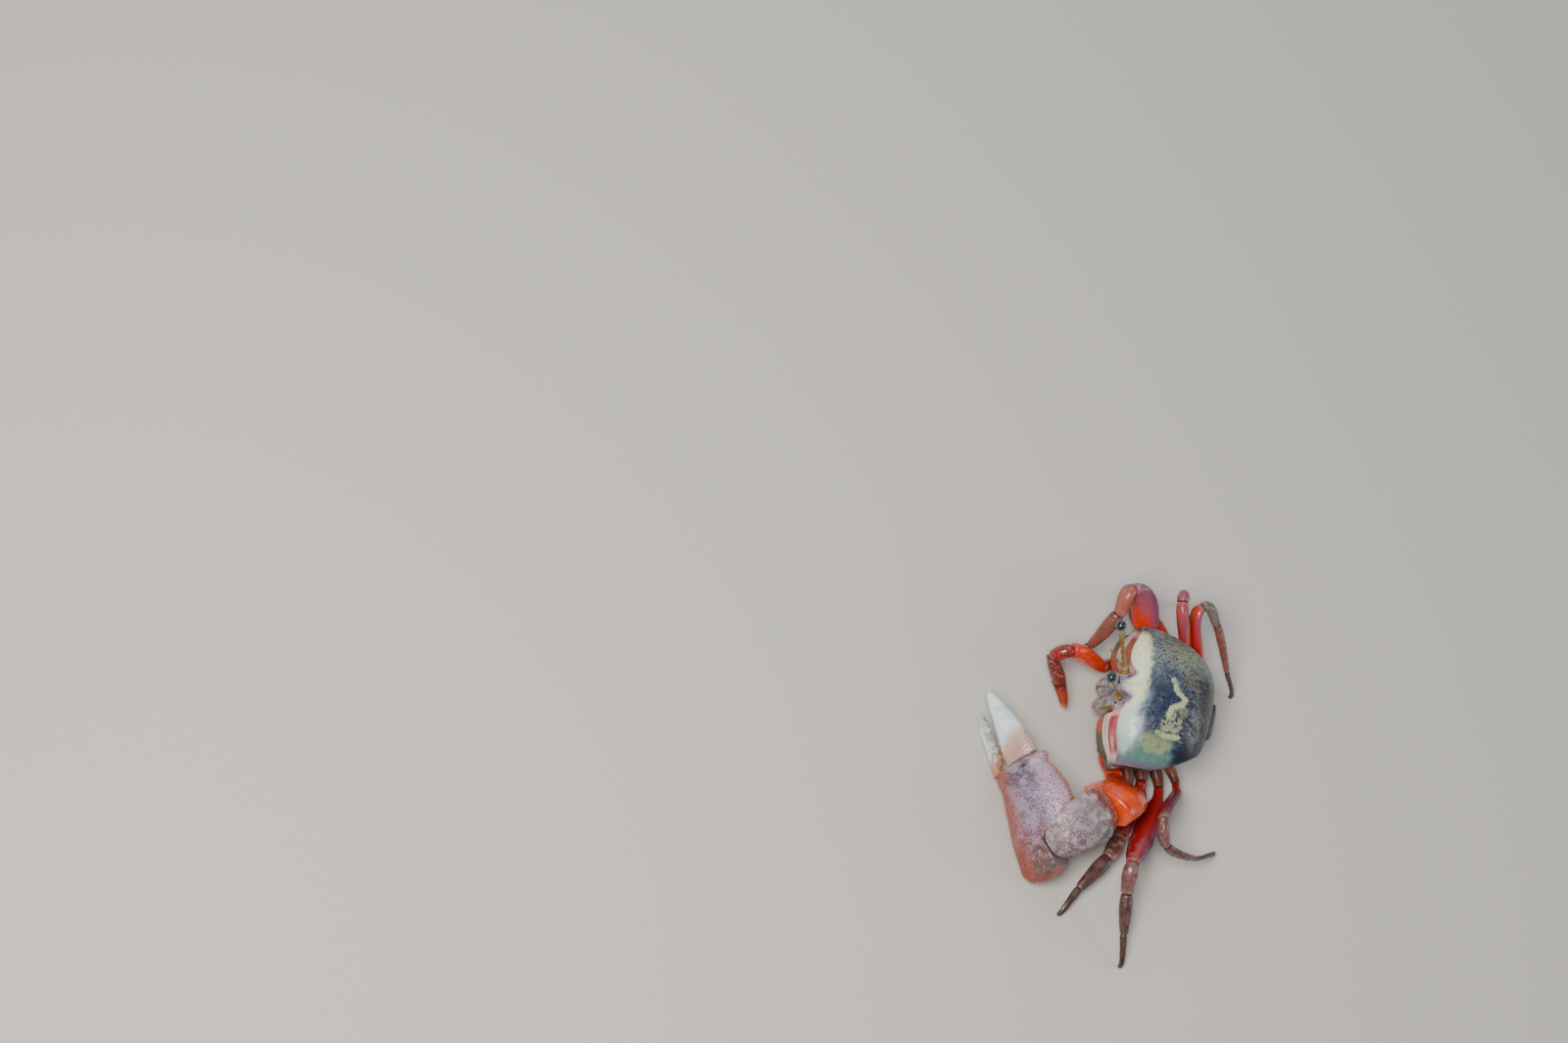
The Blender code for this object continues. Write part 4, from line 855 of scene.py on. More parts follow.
# ================================================================ tail flap
# The narrow abdomen of a male: seven plates hinged edge to edge that leave the rear margin and fold
# forward under the breastplate. Pale shell with an orange flush, a soft crease between plates.
FLAP_PATH = (
    (0.00, (0, 11.35, -1.2)), (0.16, (0, 11.2, -4.2)), (0.32, (0, 10.3, -8.0)), (0.46, (0, 8.7, -11.3)),
    (0.58, (0, 5.6, -12.5)), (0.78, (0, 1.0, -12.5)), (1.00, (0, -4.2, -12.5)),
)
FLAP_WIDTH = ((0, 7.4), (0.2, 7.8), (0.45, 6.2), (0.7, 4.6), (0.9, 3.4), (1, 1.8))
FLAP_CREASES = (0.125, 0.29, 0.455, 0.62, 0.785, 0.92)
flap_rings, flap_share = [], []
FLAP_POINTS = 30
back_again = np.linspace(1, -1, FLAP_POINTS)
across = np.concatenate([np.linspace(-1, 1, FLAP_POINTS), back_again])
face = np.concatenate([np.full(FLAP_POINTS, -0.5), 0.5 - 0.4 * np.abs(back_again) ** 3])
for t in np.linspace(0, 1, 150):
    here = spline(FLAP_PATH, t)
    forward = unit(spline(FLAP_PATH, min(t + 0.02, 1.0)) - spline(FLAP_PATH, max(t - 0.02, 0.0)))
    out = unit(np.cross((1.0, 0.0, 0.0), forward))
    crease = max(math.exp(-(((t - c) / 0.008) ** 2)) for c in FLAP_CREASES)
    half = float(spline(FLAP_WIDTH, t)) / 2 * (1 - 0.06 * crease)
    lift = np.where(face < 0, face * 0.95, -0.475 + (face + 0.5) * (0.95 - 0.28 * crease))
    flap_rings.append(here + np.outer(across * half, (1.0, 0.0, 0.0)) + np.outer(lift, out))
    flap_share.append(t)
flap = loft("abdomen_tail_flap", flap_rings)
points = points_of(flap)[0]
share = np.concatenate([np.repeat(flap_share, 2 * FLAP_POINTS), [0.0, 1.0]])
creases = np.max([line(share, c, 0.010) for c in FLAP_CREASES], axis=0)
soft = mottle(points, 1.2, 45)
raise_skin(flap, 0.03 * (soft - 0.5))
tone = np.tile(ink("#A8A094"), (len(points), 1))
tone = coat(tone, "#C7BBA6", smooth(0.45, 0.65, soft) * 0.7)
# The first plates, where the flap leaves the rear margin, are painted near-black: painted shade.
tone = coat(tone, "#232836", (1 - smooth(0.14, 0.30, share + (soft - 0.5) * 0.2)) * 0.85)
tone = coat(tone, "#B4673F", smooth(0.5, 0.85, share) * 0.4)
tone = coat(tone, "#59483C", creases * 0.8)
pigment(flap, tone, mud=0.4 * soft)
flap_skin = cuticle("tail flap cuticle", 0.45, 0.2, 0.25, 0.02, depth=0.25)
place(flap, "abdomen", flap_skin)


# ================================================================ walking legs
# Eight legs of four lengths each: a broad flat merus, a short carpus, a slimmer propodus and a pointed
# dactyl, joined by soft skin inside the joints. Glossy thin shell, red and orange over the meri, with
# rows of small grains along their edges, ridges and short stiff hairs on the outer lengths.
FOOT_FLAT = 0.9
# Glossy leg shell: its pigment is deep and even, and a thin wax makes it shine where no mud has dried.
leg_skin = cuticle("glossy leg cuticle", 0.32, 0.40, 0.20, 0.014, depth=0.22, flesh=0.06)


def bristles(points, normals, rows, length):
    """Stiff hairs, each a thin three-sided spike from a chosen point, leaning with its direction."""
    hairs = []
    for i, lean in rows:
        foot = points[i] - normals[i] * 0.05
        way = unit(normals[i] + lean)
        side = unit(np.cross(way, (0.31, 0.42, 0.85))) * 0.03
        other = np.cross(way, side)
        tri = [side, -0.5 * side + 0.87 * other, -0.5 * side - 0.87 * other]
        reach = length * random.uniform(0.6, 1.2)
        hairs.append([[foot + c for c in tri], [foot + way * reach + c * 0.15 for c in tri]])
    return hairs


def line_along(turn, place, width):
    """A soft line along a limb at one place round it, both in radians, as line() is."""
    return line(np.angle(np.exp(1j * (turn - place))), 0.0, width)


def leg_relief(points, share, turn, kind, seed):
    """Height of the grains, ridges and wrinkles of one length of a leg."""
    upper = line_along(turn, 0.0, 0.30)
    lower = line_along(turn, math.pi, 0.30)
    edges = np.maximum(upper, lower)
    inside = smooth(0.04, 0.14, share) * (1 - smooth(0.90, 0.97, share))
    wrinkle = mottle(points, 0.55, seed)
    heights = 0.05 * (mottle(points, 1.6, seed + 1) - 0.5) + 0.025 * (wrinkle - 0.5)
    if kind == "merus":
        span = np.linalg.norm(points[share > 0.98].mean(0) - points[np.abs(share - 0.02) < 0.03].mean(0))
        grains = np.abs(np.sin(share * span / 0.46 * math.pi))
        heights += 0.075 * grains * edges**2 * inside
    else:
        ridges = np.abs(np.sin(turn * 2)) ** 6
        heights += (0.05 * ridges - 0.015) * inside
    return heights


def leg_paint(points, share, turn, kind, side, number, seed):
    """Colour of one length of a leg and how muddy it is."""
    cloud = mottle(points, 1.7, seed + 2)
    fleck = mottle(points, 0.5, seed + 3)
    upper = 0.5 + 0.5 * np.cos(turn)
    muddy = smooth(0.52, 0.66, mottle(points, 1.3, seed + 4))
    if kind == "merus":
        # The left meri start from a darker crimson than the right ones: partly their own colour, partly
        # painted shade.
        tone = np.tile(ink("#C42408" if side == "right" else "#80101E"), (len(share), 1))
        if (side, number) == ("right", 1):
            tone = coat(tone, "#E03A04", 1 - smooth(0.5, 0.8, share + (cloud - 0.5) * 0.3))
            violet = smooth(0.50, 0.78, share * 0.85 + upper * 0.35 + (cloud - 0.5) * 0.25)
            tone = coat(tone, "#AE566A", violet * 0.9)
            tone = coat(tone, "#865078", violet * smooth(0.62, 0.95, upper) * 0.8)
            tone = coat(tone, "#A8848E", violet * smooth(0.7, 0.98, share) * smooth(0.48, 0.62, fleck) * 0.4)
        elif side == "right":
            tone = coat(tone, "#8E4460", smooth(0.35, 0.8, share) * np.abs(np.cos(turn)) ** 3 * 0.75)
            tone = coat(tone, "#D03808", np.abs(np.sin(turn)) ** 4 * smooth(0.2, 0.5, share) * 0.7)
        else:
            tone = coat(tone, "#5C3A5A", smooth(0.50, 0.95, upper) * smooth(0.25, 0.6, share) * 0.8)
            tone = coat(tone, "#A0180E", np.abs(np.sin(turn)) ** 4 * 0.6)
        muddy = muddy * smooth(0.62, 0.9, share)
        tone = coat(tone, "#5E5A4C", muddy * 0.7)
    elif kind == "carpus":
        own_colours = {("right", 1): "#A85242", ("right", 3): "#964058", ("right", 4): "#62665C"}
        tone = np.tile(ink(own_colours.get((side, number), "#6E3A30")), (len(share), 1))
        tone = coat(tone, "#9A6A70", smooth(0.4, 0.7, cloud) * 0.5)
        muddy = muddy * (0.35 if (side, number) in (("right", 1), ("right", 3)) else 1.0)
        tone = coat(tone, "#5C5A4A", muddy * 0.65)
        tone = coat(tone, "#A8A998", smooth(0.60, 0.68, fleck) * muddy * 0.6)
    elif kind == "propodus":
        # The left propodi start from a darker brown than the right ones: partly their own colour, partly
        # painted shade.
        tone = np.tile(ink("#864638" if side == "right" else "#4E2C28"), (len(share), 1))
        tone = coat(tone, "#8A5654", smooth(0.5, 0.7, cloud) * 0.5)
        tone = coat(tone, "#4A463A", muddy * 0.65)
    else:
        tone = np.tile(ink("#4A2C24"), (len(share), 1))
        tone = coat(tone, "#2A1E18", smooth(0.5, 1.0, share))
        tone = coat(tone, "#565044", muddy * 0.6)
    tone = coat(tone, "#B48A7A", smooth(0.96, 0.975, share) * (kind != "dactyl") * 0.25)
    tone = coat(tone, "#32100C", (1 - smooth(0.0, 0.035, share)) * 0.8)
    return tone, muddy * 0.8 + 0.15 * (fleck - 0.4)


LEG_SHAPES = (
    ("merus", ((0, 0.42), (0.13, 0.44), (0.25, 0.74), (0.5, 1.0), (0.8, 0.90), (1, 0.60)),
     ((0, 0.72), (0.14, 0.70), (0.3, 0.85), (0.6, 1.0), (1, 0.9)), 0.7),
    ("carpus", ((0, 0.58), (0.4, 0.66), (1, 0.52)), ((0, 0.88), (0.5, 0.98), (1, 0.80)), 1.1),
    ("propodus", ((0, 0.50), (0.35, 0.56), (1, 0.34)), ((0, 0.78), (0.4, 0.78), (1, 0.52)), 0.8),
    ("dactyl", ((0, 0.32), (0.4, 0.27)), ((0, 0.50), (0.4, 0.42)), 0.8),
)
for side, legs in LEGS.items():
    for number, (hip, knee, wrist, ankle, tip, broad) in enumerate(legs, 1):
        root_x, root_y = LEG_ROOTS[number - 1]
        root = (root_x if side == "left" else -root_x, root_y, COXA)
        bend = math.acos(unit(np.subtract(knee, hip)) @ unit(np.subtract(wrist, knee)))
        planes = [
            joint_plane(root, hip, knee), joint_plane(hip, knee, wrist, 0.2 + 0.3 * smooth(1.0, 2.2, bend)),
            joint_plane(knee, wrist, ankle, 0.6), joint_plane(wrist, ankle, tip), np.array([0, 0, -1.0]),
        ]
        stations = (hip, knee, wrist, ankle, tip)
        for k, (kind, wide, thick, swing) in enumerate(LEG_SHAPES):
            widths = [(t, w * MERUS_WIDTH[number - 1]) for t, w in wide]
            thicknesses = [(t, w * MERUS_THICKNESS[number - 1]) for t, w in thick]
            gaps = (GAP / 2, GAP / 2)
            if kind == "dactyl":
                widths.append((1, FOOT_FLAT))
                thicknesses.append((1, FOOT_FLAT))
                gaps = (GAP / 2, 0.0)
            node = f"leg_{side}_{number}_{kind}"
            seed = 100 + 40 * (side == "left") + 8 * number + k
            rings, share, turn = limb(
                stations[k : k + 2], planes[k : k + 2], broad, widths, thicknesses, swing, gaps,
                sides=60 if kind == "merus" else 44,
            )
            bare = loft("bare", rings)
            points, normals = points_of(bare)
            bpy.data.objects.remove(bare)
            hairs = []
            if kind != "merus":
                hair_end = 0.75 if kind == "dactyl" else 0.93
                sparse = scatter(points, 0.75, (share > 0.12) & (share < hair_end))
                forward = unit(np.subtract(stations[k + 1], stations[k])) * 1.1
                hairs = bristles(points, normals, [(i, forward) for i in sparse[:30]], 0.45)
            length = loft(node + "_shell", rings, *hairs)
            points = points_of(length)[0]
            extra = len(points) - len(share)
            share = np.concatenate([share, np.full(extra, 2.0)])
            turn = np.concatenate([turn, np.zeros(extra)])
            hairy = share > 1.5
            body_share = np.where(hairy, 0.5, share)
            heights = leg_relief(points, body_share, turn, kind, seed)
            raise_skin(length, np.where(hairy, 0.0, heights * smooth(FLOOR, FLOOR + 0.6, points[:, 2])))
            tone, mud = leg_paint(points, body_share, turn, kind, side, number, seed)
            tone[hairy] = ink("#2C211A")
            pigment(length, tone, mud=np.where(hairy, 0.6, mud))
            place(length, node, leg_skin)


# ================================================================ large claw: arm
# The ischium and the merus that carry the claw. The merus is a stout flattened shaft that widens to the
# elbow, of thick glossy orange shell; towards the elbow its front edge bears a row of blunt spines.
CLAW_ELBOW = (25.0, -6.4, -2.2)
CLAW_WRIST = np.array((29.1, -16.0, -3.9))
CLAW_LONG = unit((-0.781, -0.604, -0.160))
CLAW_HIGH = np.array((-0.417, 0.313, 0.854))
CLAW_HIGH = unit(CLAW_HIGH - CLAW_LONG * (CLAW_HIGH @ CLAW_LONG))
CLAW_OUT = np.cross(CLAW_HIGH, CLAW_LONG)
ELBOW_PLANE = unit((0.80, -0.56, 0.20))
# The way that the arm's and the wrist's domed outer side faces.
DOMED_SIDE = np.array((0.405, -0.319, 0.859))
# Thick orange shell, smoother and glossier than that of the legs.
arm_skin = cuticle("thick orange cuticle", 0.24, 0.7, 0.22, 0.010, depth=0.14, flesh=0.08)

claw_root = (6.0, -5.4, COXA)
hip_plane = joint_plane(claw_root, CLAW_HIP, CLAW_ISCHIUM_END)
ischium_plane = joint_plane(CLAW_HIP, CLAW_ISCHIUM_END, CLAW_ELBOW)
rings, share = limb(
    (CLAW_HIP, CLAW_ISCHIUM_END), (hip_plane, ischium_plane), (0, 1, 0),
    ((0, 2.8), (0.5, 3.3), (1, 3.6)), ((0, 2.6), (0.5, 2.9), (1, 3.0)), sides=60,
)[:2]
ischium = loft("claw_major_ischium_shell", rings)
points = points_of(ischium)[0]
cloud = mottle(points, 1.4, 61)
raise_skin(ischium, 0.05 * (cloud - 0.5))
tone = np.tile(ink("#C23A12"), (len(points), 1))
tone = coat(tone, "#8A2414", smooth(0.5, 0.7, cloud) * 0.7)
tone = coat(tone, "#4A1E18", (1 - smooth(0.0, 0.06, share)) * 0.75)
pigment(ischium, tone, mud=0.2 * cloud)
place(ischium, "claw_major_ischium", arm_skin)

rings, share, turn = limb(
    (CLAW_ISCHIUM_END, CLAW_ELBOW), (ischium_plane, ELBOW_PLANE), (0.2, 1, 0.35),
    ((0, 3.4), (0.12, 5.4), (0.35, 10.8), (0.6, 12.4), (1, 10.8)),
    ((0, 2.9), (0.12, 3.2), (0.35, 4.6), (0.7, 7.0), (1, 7.2)), sides=180, step=0.11,
)
arm = loft("claw_major_merus_shell", rings)
points, normals = points_of(arm)
cloud = mottle(points, 2.6, 62)
fine = mottle(points, 0.5, 63)
facing = normals @ DOMED_SIDE
front_edge = line_along(turn, math.pi, 0.22)
rear_edge = line_along(turn, 0.0, 0.22)
spines = scatter(points, 0.95, (front_edge > 0.6) & (share > 0.45) & (share < 0.96))
small = scatter(points, 0.75, (rear_edge > 0.75) & (share > 0.3) & (share < 0.8))
chosen = spines + small
radii = [0.42] * len(spines) + [0.28] * len(small)
rises = [0.32] * len(spines) + [0.06] * len(small)
grains, tops = beads(points, chosen, radii, rises)
elbow_groove = line(share, 0.955, 0.010)
raise_skin(arm, grains + 0.10 * (cloud - 0.5) + 0.02 * (fine - 0.5) - 0.08 * elbow_groove)
tone = np.tile(ink("#DE3E00"), (len(points), 1))
tone = coat(tone, "#F65E02", smooth(0.5, 0.75, cloud) * 0.6)
tone = coat(tone, "#96200A", smooth(0.32, 0.10, share) * 0.85)
# Darker red where the surface turns away from the domed side: painted shade on the arm's underside.
tone = coat(tone, "#8A1C0A", smooth(0.0, -0.7, facing) * 0.6)
tone = coat(tone, "#F08A1A", front_edge * smooth(0.5, 0.85, share) * 0.8)
tone = coat(tone, "#F0983C", tops * smooth(0.5, 0.8, share) * 0.35)
tone = coat(tone, "#5E1E10", elbow_groove * 0.6)
tone = coat(tone, "#3A1712", (1 - smooth(0.0, 0.04, share)) * 0.8)
pigment(arm, tone, mud=0.12 * fine)
place(arm, "claw_major_merus", arm_skin)


# ================================================================ large claw: carpus
# The wrist block between arm and hand, thick shell, domed and finely grained outside and flattened where
# it meets its neighbours. Greyish lilac grains, dried mud, and a red-brown rim of low knobs at the elbow.
CARPUS_MIDDLE = np.array((28.6, -11.3, -3.15))
CARPUS_HALVES = (7.8, 6.2, 5.4)
PALM_START = -2.6
PALM_START_HEIGHT = -1.4
HEEL_TOP = -3.4
SEAM = 0.1
to_hand = unit((0.66, -0.75, 0.0))
outer_way = unit((0.75, 0.66, -0.12))
top_way = np.cross(to_hand, outer_way)
top_way = top_way * math.copysign(1, top_way[2])


def claw(along, height):
    """Point in the middle plane of the large claw, by its way along and up from the wrist."""
    return CLAW_WRIST + CLAW_LONG * along + CLAW_HIGH * height


to_palm = unit(CLAW_LONG * 0.923 - CLAW_HIGH * 0.383)
palm_seam = claw(PALM_START - SEAM, PALM_START_HEIGHT)
CARPUS_FACES = (
    (palm_seam, to_palm), (claw(0, HEEL_TOP + SEAM), -CLAW_HIGH),
    (np.asarray(CLAW_ELBOW) + ELBOW_PLANE * GAP / 2, -ELBOW_PLANE),
)


def within(ring, middle, faces, soft):
    """Points drawn in towards a middle until they lie inside flat faces, with edges rounded by soft."""
    way = ring - middle
    reach = np.linalg.norm(way, axis=1)
    way = way / reach[:, None]
    limits = [reach]
    for spot, normal in faces:
        limits.append((spot - middle) @ normal / np.maximum(way @ normal, 0.02))
    limits = np.array(limits)
    least = limits.min(0)
    reach = least - soft * np.log(np.exp((least - limits) / soft).sum(0))
    return middle + way * reach[:, None]


def even(ring, count):
    """A closed ring drawn again with its points an even way apart."""
    closed = np.vstack([ring, ring[:1]])
    way = np.concatenate([[0], np.cumsum(np.linalg.norm(np.diff(closed, axis=0), axis=1))])
    places = np.linspace(0, way[-1], count, endpoint=False)
    return np.column_stack([np.interp(places, way, closed[:, k]) for k in range(3)])


CARPUS_RINGS = 130
CARPUS_SIDES = 240
CARPUS_EDGE_SOFT = 0.22
# The block is a rounded box, its outline squarer, by a lower power, between the hand and the outer side.
block = []
angles = np.linspace(0, 2 * math.pi, 1600, endpoint=False)
power = 0.8 - 0.35 * np.maximum(0, np.cos(angles - math.pi / 4))
for lean in np.linspace(0, math.pi, CARPUS_RINGS + 2)[1:-1]:
    reach = math.sin(lean) ** 0.8
    ahead = np.sign(np.cos(angles)) * np.abs(np.cos(angles)) ** power * reach * CARPUS_HALVES[0]
    ahead = np.where(ahead > 0, ahead * 1.07, ahead)
    outward = np.sign(np.sin(angles)) * np.abs(np.sin(angles)) ** power * reach * CARPUS_HALVES[1]
    ring = CARPUS_MIDDLE + np.outer(ahead, to_hand) + np.outer(outward, outer_way)
    ring = ring + top_way * math.cos(lean) * CARPUS_HALVES[2]
    cut = within(ring, CARPUS_MIDDLE - to_palm * 2.2, CARPUS_FACES, CARPUS_EDGE_SOFT)
    block.append(even(cut, CARPUS_SIDES))
carpus = loft("claw_major_carpus_shell", block)
points, normals = points_of(carpus)
height = (points - CLAW_WRIST) @ CLAW_HIGH
elbow_gap = (points - np.asarray(CLAW_ELBOW)) @ ELBOW_PLANE
cloud = mottle(points, 2.2, 65)
fine = mottle(points, 0.5, 66)
outer = normals @ DOMED_SIDE
grained = (elbow_gap > 2.0) & (outer > -0.35)
picked = scatter(points, 0.50, grained)
grains, tops = beads(
    points, picked, [random.uniform(0.20, 0.27) for _ in picked], [random.uniform(0.04, 0.08) for _ in picked]
)
by_elbow = scatter(points, 1.1, (elbow_gap < 1.6) & (elbow_gap > 0.7))
knobs, knob_tops = beads(points, by_elbow, 0.45, 0.16)
lumps = mottle(points, 1.0, 69)
palm_gap = (palm_seam - points) @ to_palm
heel_gap = height - HEEL_TOP - SEAM
free = smooth(0.10, 0.5, palm_gap) * smooth(0.05, 0.4, heel_gap) * smooth(0.1, 0.5, elbow_gap)
relief = np.maximum(grains, knobs) + 0.30 * (cloud - 0.5) + 0.12 * (lumps - 0.5) + 0.03 * (fine - 0.5)
raise_skin(carpus, relief * free)
tone = np.tile(ink("#7E7079"), (len(points), 1))
tone = coat(tone, "#A89A9E", smooth(0.45, 0.65, cloud) * 0.75)
tone = coat(tone, "#BCA2AC", smooth(4.5, 1.0, palm_gap) * 0.6)
tone = coat(tone, "#4E4046", smooth(0.56, 0.70, fine) * 0.4)
# The grains' tops are painted pale: partly their own whitish colour, partly a painted highlight.
tone = coat(tone, "#D6CCCC", smooth(0.4, 1.0, tops) * (0.15 + 0.6 * smooth(0.35, 0.7, lumps)))
tone = coat(tone, "#6E3A50", smooth(0.58, 0.70, mottle(points, 1.3, 67)) * smooth(6.0, 3.0, height) * 0.55)
tone = coat(tone, "#585C50", smooth(0.44, 0.60, mottle(points, 1.9, 68)) * smooth(9.5, 4.0, elbow_gap) * 0.75)
brown = smooth(4.3, 2.9, elbow_gap + (cloud - 0.5) * 2.0)
tone = coat(tone, "#7C2E28", brown * 0.9)
elbow_rim = smooth(2.6, 1.2, elbow_gap) * smooth(0.0, 3.0, height) * smooth(0.45, 0.6, lumps)
tone = coat(tone, "#B87A66", elbow_rim * 0.8)
tone = coat(tone, "#A8604C", brown * knob_tops * 0.25)
tone = coat(tone, "#5A2A22", smooth(0.9, 0.5, elbow_gap) * 0.7)
mud = smooth(0.50, 0.62, mottle(points, 1.9, 68)) * (1 - brown) * 0.6
pigment(carpus, tone, mud=mud)
# Thick shell worn dull, with grains about half a millimetre across that catch the light.
grain_skin = cuticle("granular claw cuticle", 0.42, 0.25, 0.22, 0.016, depth=0.22, flesh=0.04)
place(carpus, "claw_major_carpus", grain_skin)


# ================================================================ large claw: hand and fixed finger
# The great palm, one piece with its fixed finger, heavy chalky shell. Its outer face is covered in close
# round grains that grow towards the edges; the finger turns to bare porcelain with a row of molar teeth.
HEEL_END = -10.0
PALM_SLOPE = 2.41
FINGER_START = 12.2
POLLEX_TIP = 25.0
DACTYL_LENGTH = 14.9
TOOTH_STEP = 0.7
HAND_UPPER = (
    (HEEL_END, -4.2), (-9.4, -2.2), (-8.0, 0.2), (-5.2, 2.4), (-2.6, 3.8), (0.4, 4.7), (2.8, 4.9),
    (6.0, 4.7), (10.0, 3.7), (FINGER_START, 2.9), (12.35, -5.0), (15.6, -4.8), (20.0, -4.3),
    (23.6, -4.0), (POLLEX_TIP, -4.1),
)
HAND_LOWER = (
    (HEEL_END, -7.8), (-9.4, -9.9), (-8.6, -11.3), (-7.0, -12.2), (-4.0, -11.7), (0.0, -10.6),
    (5.0, -8.9), (9.0, -7.8), (12.5, -7.6), (16.0, -7.2), (20.0, -6.6), (23.6, -5.7), (POLLEX_TIP, -5.1),
)
HAND_THICKNESS = (
    (HEEL_END, 2.0), (-9.0, 4.6), (-6.0, 6.2), (-2.0, 7.6), (3.0, 8.2), (8.0, 7.4), (12.2, 5.6),
    (12.6, 3.6), (18.0, 2.8), (23.0, 1.9), (POLLEX_TIP, 1.0),
)
DACTYL_UPPER = ((0.0, 2.7), (2.0, 2.9), (5.0, 2.6), (9.0, 1.8), (12.4, 0.9), (DACTYL_LENGTH, 0.0))
DACTYL_LOWER = ((0.0, -4.5), (2.8, -4.1), (6.0, -3.4), (9.4, -2.7), (12.4, -2.1), (DACTYL_LENGTH, -1.5))
DACTYL_THICKNESS = ((0.0, 3.8), (2.0, 3.7), (6.0, 3.2), (12.0, 2.2), (DACTYL_LENGTH, 0.9))


def seat(along):
    """How high the hand may reach at a place along it, under and in front of the carpus."""
    return np.maximum(HEEL_TOP, PALM_START_HEIGHT + PALM_SLOPE * (along - PALM_START))


def oval(along, low, high, thickness, sides, flat, soft=0.30):
    """Ring round the hand or a finger: a flattened oval between its margins, cut flat under its seat."""
    turn = np.linspace(0, 2 * math.pi, sides, endpoint=False)
    upward = np.sign(np.cos(turn)) * np.abs(np.cos(turn)) ** (2 / flat)
    outward = np.sign(np.sin(turn)) * np.abs(np.sin(turn)) ** (2 / flat)
    heights = upward * (high - low) / 2 + (high + low) / 2
    over = (heights - seat(along)) / soft
    heights = np.minimum(heights, seat(along)) - soft * np.log1p(np.exp(-np.abs(over)))
    ring = CLAW_WRIST + np.outer(along + 0 * turn, CLAW_LONG) + np.outer(heights, CLAW_HIGH)
    return ring + np.outer(outward * thickness / 2, CLAW_OUT)


tooth_draw = random.Random(7)
hand_teeth = [(13.6 + k * TOOTH_STEP, tooth_draw.uniform(0.25, 0.5)) for k in range(1, 15, 2)]
finger_teeth = [(1.6 + k * TOOTH_STEP, tooth_draw.uniform(0.25, 0.5)) for k in range(1, 17, 2)]


def tooth_heights(along, rows):
    """How far the teeth stand out of a cutting edge at each place along it, with small ones between."""
    heights = 0.10 * np.abs(np.sin(along * math.pi / 0.35))
    for middle, rise in rows:
        heights = np.maximum(heights, rise * np.clip(1 - ((along - middle) / 0.55) ** 2, 0, 1) ** 0.7)
    return heights


def round_spot(along, height, middle, area):
    """1 at a spot of the claw's side, fading to 0 round it; area is in square millimetres."""
    return np.exp(-(((along - middle[0]) ** 2 + (height - middle[1]) ** 2) / area))


HAND_SIDES = 300
stations = np.concatenate([
    HEEL_END + (1 - np.cos(np.linspace(0, math.pi / 2, 12))) * 1.2, np.arange(-8.7, 12.1, 0.14),
    np.linspace(12.12, 12.42, 10), np.arange(12.5, 24.2, 0.11), np.linspace(24.25, POLLEX_TIP, 12),
])
hand_rings = []
for station in stations:
    rounded = 1 - 0.30 * smooth(POLLEX_TIP - 0.8, POLLEX_TIP, station) ** 2
    low, high = float(spline(HAND_LOWER, station)), float(spline(HAND_UPPER, station))
    middle = (low + high) / 2
    low, high = middle + (low - middle) * rounded, middle + (high - middle) * rounded
    thickness = float(spline(HAND_THICKNESS, station)) * rounded
    hand_rings.append(oval(station, low, high, thickness, HAND_SIDES, 2.4))
hand = loft("claw_major_manus_shell", hand_rings)
points, normals = points_of(hand)
offset = points - CLAW_WRIST
along, height = offset @ CLAW_LONG, offset @ CLAW_HIGH
hand_turn = np.tile(np.linspace(0, 2 * math.pi, HAND_SIDES, endpoint=False), len(stations))
hand_turn = np.concatenate([hand_turn, [0, 0]])
top_line = np.array([float(spline(HAND_UPPER, a)) for a in along])
low_line = np.array([float(spline(HAND_LOWER, a)) for a in along])
rise = (height - low_line) / np.maximum(top_line - low_line, 0.5)
cutting = line_along(hand_turn, 0.0, 0.34) * smooth(12.9, 13.4, along)
cloud = mottle(points, 2.6, 71)
fine = mottle(points, 0.5, 72)
warty = (along < 16.0 + 2.0 * (cloud - 0.5)) & (cutting < 0.3)
margin_gap = np.minimum(top_line - height, height - low_line)
spacing = 0.46 + 0.10 * smooth(1.2, 0.3, margin_gap)
picked = scatter(points, spacing, warty)
edge_size = smooth(1.2, 0.3, margin_gap)
radii = [0.22 + 0.06 * edge_size[i] + random.uniform(-0.03, 0.04) for i in picked]
rises = [0.06 + 0.09 * edge_size[i] + random.uniform(-0.02, 0.03) for i in picked]
fade = np.array([1 - smooth(11.5, 16.0, along[i]) * 0.7 for i in picked])
rises = [r * f * (0.6 if normals[i] @ CLAW_OUT < -0.2 else 1.0) for r, f, i in zip(rises, fade, picked)]
grains, tops = beads(points, picked, radii, rises)
pits = scatter(points, 1.7, warty & (margin_gap > 1.2) & (grains < 0.03) & (along > -6))
hollows, pit_tops = beads(points, pits, 0.22, -0.09)
pit = round_spot(along, height, (-5.0, -4.6), 0.55)
knob = round_spot(along, height, (-3.6, -5.6), 0.9)
socket = round_spot(along, height, (11.0, 0.2), 0.30)
front = smooth(0.1, 0.5, normals @ CLAW_OUT)
relief = grains + hollows + 0.22 * (cloud - 0.5) + 0.02 * (fine - 0.5)
relief += front * (-0.35 * pit + 0.3 * knob - 0.22 * socket)
relief += cutting * tooth_heights(along, hand_teeth)
raise_skin(hand, relief)
tone = np.tile(ink("#7C6682"), (len(points), 1))
tone = coat(tone, "#A292AA", smooth(0.42, 0.62, cloud) * 0.7)
tone = coat(tone, "#B892A4", smooth(3.2, 1.2, top_line - height) * 0.6)
tone = coat(tone, "#5A3C50", smooth(0.60, 0.72, fine) * 0.35)
low_edge = smooth(6.5, 2.0, height - low_line + (cloud - 0.5) * 2.5) * (along < 15)
